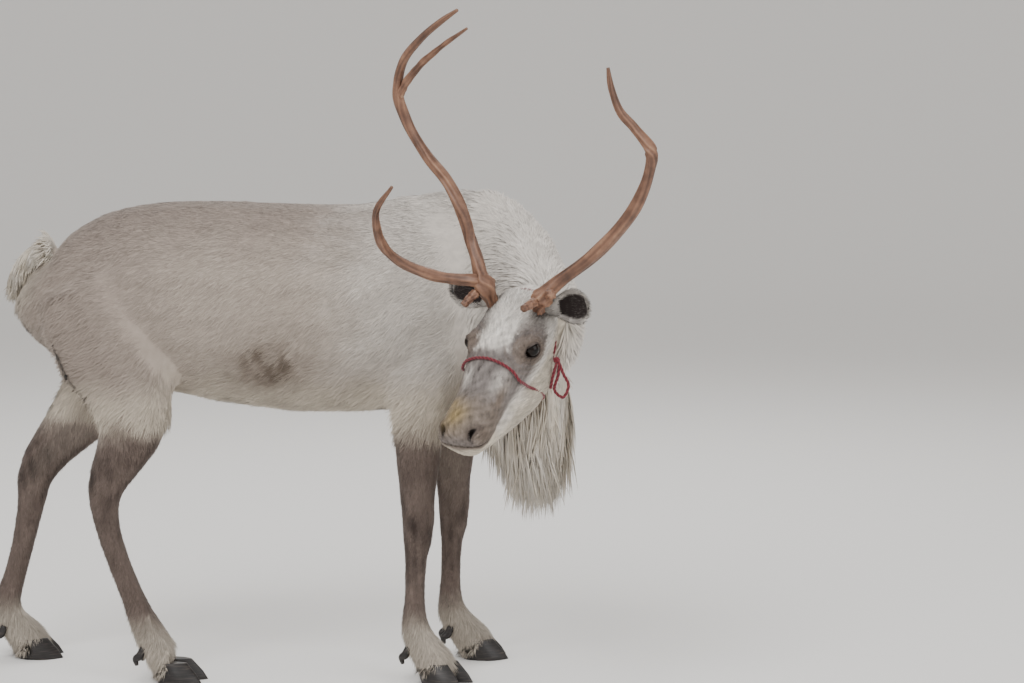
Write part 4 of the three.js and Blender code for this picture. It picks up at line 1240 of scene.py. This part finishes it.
ANTLER_SIDES = 36
ANTLER_ACROSS = HEAD_AXES @ np.array([0.9, 0.15, -0.4])
for side, sign in (("right", -1), ("left", 1)):
    parts, wears = [], []
    for k, line in enumerate([BEAMS[side]] + TINES[side]):
        rows = np.array(line, dtype=float) * MM
        middle = from_head(rows[:, :3] * [-1, sign, 1])
        stations = np.column_stack([middle, rows[:, 3], rows[:, 3]])
        steps = 200 if k == 0 else 90

        def form(t, a, seed=60 + k, beam=(k == 0)):
            return furrows(t, a, seed, beam)

        parts.append(closed(rings_along(stations, ANTLER_SIDES, steps, ANTLER_ACROSS, form)))
        t = np.linspace(0, 1, steps + 1)[:, None]
        a = np.linspace(0, 2 * np.pi, ANTLER_SIDES, endpoint=False)[None, :]
        wear = 0.12 + 0.9 * (form(t, a) - 1) - 0.04 * t
        wears.append(np.append(wear.ravel(), [0.25, 0.25]))
    points, faces = joined(parts)
    made = mesh_object(side + "_antler", points, faces)
    number(made, "Wear", np.concatenate(wears))
    made.data.materials.append(bone)
    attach(made, "root")
    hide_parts(*[side + "_" + part for part in ANTLER_NODES[side]])

# Hooves: two broad black crescents of horn to a foot, with growth rings, and a pair of dewclaws.
FEET = {  # where the fetlock is, and the way the foot points, in degrees
    "right_foreleg": (269, -112, -28),
    "left_foreleg": (340, 112, 6),
    "right_hindleg": (-298, -118, -8),
    "left_hindleg": (-640, 118, 8),
}
HOOF = {"long": 96, "wide": 44, "high": 44, "apart": 27, "splay": 9, "lean": 22, "forward": 74}
DEWCLAW = {"apart": 25, "back": 21, "from": 74, "to": 36, "r": 9}
hoof_horn = new_material("hoof_horn")
mapping = {"Vector": object_place(hoof_horn), "Scale": (30.0, 30.0, 420.0)}
layers = node(hoof_horn, "ShaderNodeMapping", {}, mapping).outputs["Vector"]
growth = noise(hoof_horn, layers, 1.0, 4.0)
surface(hoof_horn, {
    "Base Color": ramp(hoof_horn, growth, [(0.25, "#0d0c0c"), (0.55, "#262221"), (0.8, "#514842")]),
    "Normal": bumped(hoof_horn, growth, 0.5, 0.8 * MM),
    "Roughness": 0.42,
})


def foot_place(foot, forward, across):
    """A place on the ground, that far before and beside a fetlock."""
    x, y, toe = FEET[foot]
    c, s = math.cos(math.radians(toe)), math.sin(math.radians(toe))
    return x + forward * c - across * s, y + forward * s + across * c


for foot in LEG_NAMES:
    parts = []
    for side in (1, -1):
        share = np.array([0, 0.02, 0.2, 0.4, 0.6, 0.8, 0.97, 1.0])[:, None]
        size = np.interp(share, [0, 0.02, 0.4, 1.0], [0.97, 1.0, 0.96, 0.74])
        angle = np.linspace(0, 2 * np.pi, 48, endpoint=False)[None, :]
        ahead = np.maximum(np.cos(angle), 0)
        x = HOOF["long"] / 2 * np.cos(angle) * size - HOOF["lean"] * share
        y = HOOF["wide"] / 2 * np.sin(angle) * (1 - 0.42 * ahead**2) * size - side * 7 * ahead**2
        turn_by = math.radians(FEET[foot][2] + side * HOOF["splay"])
        at = foot_place(foot, HOOF["forward"], side * HOOF["apart"])
        ring = np.stack([
            at[0] + x * math.cos(turn_by) - y * math.sin(turn_by),
            at[1] + x * math.sin(turn_by) + y * math.cos(turn_by),
            np.broadcast_to(HOOF["high"] * share, x.shape),
        ], -1)
        parts.append(closed(ring * MM + SHIFT))
        aside, r = side * DEWCLAW["apart"], DEWCLAW["r"]
        top, low = foot_place(foot, -4, aside), foot_place(foot, -DEWCLAW["back"], aside)
        claw = [
            [*top, DEWCLAW["from"], r * 0.8, r * 0.8],
            [(top[0] + low[0]) / 2, (top[1] + low[1]) / 2, DEWCLAW["from"] - 18, r, r],
            [*low, DEWCLAW["to"] + 14, r * 0.9, r * 0.8],
            [low[0] + 2, low[1], DEWCLAW["to"], r * 0.5, r * 0.4],
        ]
        parts.append(closed(rings_along(in_design(claw), 20, 16, (0, 1, 0))))
    points, faces = joined(parts)
    made = mesh_object(foot + "_hooves", points, faces)
    made.data.materials.append(hoof_horn)
    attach(made, "root")
    toes = [foot + where for where in ("_inner", "_outer")]
    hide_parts(*[toe + kind for toe in toes for kind in ("_hoof", "_dewclaw")])

# Halter: twisted red cord laid on the coat, as a noseband, a headstall that bends round behind the
# ears, and a bow at the left cheek.
CORD_R = 3.4 * MM
CORD_LIFT = 1.6 * MM
WRAP_FROM = 165 * MM  # of the axis, well outside the coat
WRAP_POINTS = 24
SINK = 13 * MM  # of the headstall into the long hair behind the ears
WRAPS = {  # height of the axis, [sine of the turn, place along the head], skew to one side
    "noseband": (-75, [[-1, 124], [-0.6, 130], [0, 146], [0.5, 158], [1, 143]], 6),
    "headstall": (-85, [[-1, 78], [-0.5, 62], [-0.1, 8], [0.4, -38], [1, -47]], 0),
}
KNOT = np.array([62, 84, -108]) * MM
KNOT_R = 6.5 * MM
BOW = {
    "loop": [
        [0, 8, 4], [6, -6, -8], [14, -11, -28], [24, -12, -50],
        [13, -12, -74], [-4, -12, -60], [3, -12, -30], [6, -6, -8],
    ],
    "end": [[2, -2, -2], [-4, -16, -18], [-9, -17, -38], [-12, -14, -56]],
}
TWIST_MM = 9  # length of cord for one turn of its three strands
red_cord = new_material("twisted_red_cord")
fuzz = noise(red_cord, object_place(red_cord), 900.0, 2.0)
# painted shade: the cord is darkest in the grooves between its strands, where the lay sinks in
depth = math_node(red_cord, "ShaderNodeMath", "MULTIPLY_ADD", fuzz, 0.35, attribute(red_cord, "Lay")["Fac"])
surface(red_cord, {
    "Base Color": ramp(red_cord, depth, [(0.1, "#27030a"), (0.55, "#600819"), (1.0, "#7c0d23")]),
    "Roughness": 0.75,
    "Sheen Weight": 0.3,
})


def cord_mesh(points, joined_ends):
    """A cord of three strands along a smooth line through the points."""
    rows = np.asarray(points, dtype=float)
    if joined_ends:
        rows = np.concatenate([rows[-2:], rows, rows[:3]])
    steps = 14 * len(rows)
    line = catmull(rows, np.linspace(0, 1, steps + 1))
    if joined_ends:
        spans = len(rows) - 1
        first, last = round(2 * steps / spans), round((spans - 2) * steps / spans)
        line = line[first : last + 1]
    tangent = unit(np.gradient(line, axis=0))
    side = unit(np.cross(tangent, [0.31, 0.52, 0.79]))
    up = np.cross(tangent, side)
    run = np.concatenate([[0], np.cumsum(np.linalg.norm(np.diff(line, axis=0), axis=1))])
    angle = np.linspace(0, 2 * np.pi, 18, endpoint=False)[None, :]
    lay = np.cos(3 * (angle - run[:, None] / (TWIST_MM * MM) * 2 * np.pi / 3))
    r = CORD_R * (0.88 + 0.13 * lay)
    across, rise = (np.cos(angle) * r)[..., None], (np.sin(angle) * r)[..., None]
    rings = line[:, None] + across * side[:, None] + rise * up[:, None]
    value = np.append(((lay + 1) / 2).ravel(), [0.5, 0.5])
    return closed(rings), value


def wrapped(axis, at, skew):
    """Points of a cord laid round the head on top of its coat."""
    at = np.array(at)
    points = []
    for turn_at in np.linspace(0, 2 * math.pi, WRAP_POINTS, endpoint=False):
        c, s = math.cos(turn_at), math.sin(turn_at)
        x = np.interp(s, at[:, 0], at[:, 1]) + skew * c
        out = HEAD_AXES @ np.array([0, c, s])
        start = from_head(np.array([x, 0, axis]) * MM) + out * WRAP_FROM
        hit = coat_top.ray_cast(Vector(start), Vector(-out))[0]
        sunk = SINK * smoothstep(-0.25, 0.1, s) * (axis == WRAPS["headstall"][0])
        points.append(np.array(hit) + out * (CORD_LIFT - sunk))
    return points


knot_at = from_head(KNOT)
pieces = {name: [cord_mesh(wrapped(*wrap), True)] for name, wrap in WRAPS.items()}
pieces["bow"] = [cord_mesh(knot_at + np.array(line) * MM, False) for line in BOW.values()]
phi = np.linspace(0, 2 * np.pi, 28, endpoint=False)[None, :]
theta = np.linspace(0, np.pi, 18)[1:-1, None]
bulge = 1 + 0.16 * np.cos(5 * phi + 4 * theta)
reach = np.sin(theta) * bulge
knot = np.stack([reach * np.cos(phi), reach * np.sin(phi), -np.cos(theta) * np.ones_like(phi)], -1)
knot, faces = closed(knot * KNOT_R + knot_at + np.array([0, -3, 0]) * MM)
pieces["bow"].append(((knot, faces), np.full(len(knot), 0.6)))
for name, lengths in pieces.items():
    points, faces = joined([length[0] for length in lengths])
    made = mesh_object("cord_" + name, points, faces)
    number(made, "Lay", np.concatenate([length[1] for length in lengths]))
    made.data.materials.append(red_cord)
    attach(made, "root")
    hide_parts("halter_" + name)

# The floor and the light of a plain studio. The floor sweeps up far behind the animal, so that no
# line shows where it ends.
plaster = new_material("pale_plaster")
surface(plaster, {"Base Color": (*linear("#f3f2f0"), 1), "Roughness": 0.9})
FLOOR = 150  # half its width, in metres
SWEEP_FROM, SWEEP_R = 9.0, 5.0
turn = np.linspace(0, np.pi / 2, 48)
profile = np.concatenate([
    [[-FLOOR, 0]],
    np.stack([SWEEP_FROM + SWEEP_R * np.sin(turn), SWEEP_R * (1 - np.cos(turn))], 1),
    [[SWEEP_FROM + SWEEP_R, FLOOR / 3]],
])
floor_points = [[side * FLOOR, y, z] for side in (-1, 1) for y, z in profile]
steps = len(profile)
floor_faces = [[i, steps + i, steps + i + 1, i + 1] for i in range(steps - 1)]
floor = mesh_object("floor", floor_points, floor_faces)
floor.data.materials.append(plaster)

world = bpy.data.worlds.new("studio")
bpy.context.scene.world = world
world.use_nodes = True
sky = world.node_tree.nodes["Background"].inputs
sky["Color"].default_value = (*linear("#e9e6e3"), 1)
sky["Strength"].default_value = 0.85
LIGHT_SIZE = 3.0
LIT = Vector((0, 0, 0.7))  # what the lights point at
LIGHTS = {"key": ((-1.5, -3.5, 4.5), 200), "fill": ((3.5, -2.5, 2.5), 60), "rim": ((0.5, 3.5, 4.0), 90)}
for name, (at, power) in LIGHTS.items():
    light = bpy.data.objects.new(name, bpy.data.lights.new(name, "AREA"))
    light.data.size = LIGHT_SIZE
    light.data.energy = power
    light.location = at
    light.rotation_euler = (LIT - Vector(at)).to_track_quat("-Z", "Y").to_euler()
    bpy.context.scene.collection.objects.link(light)
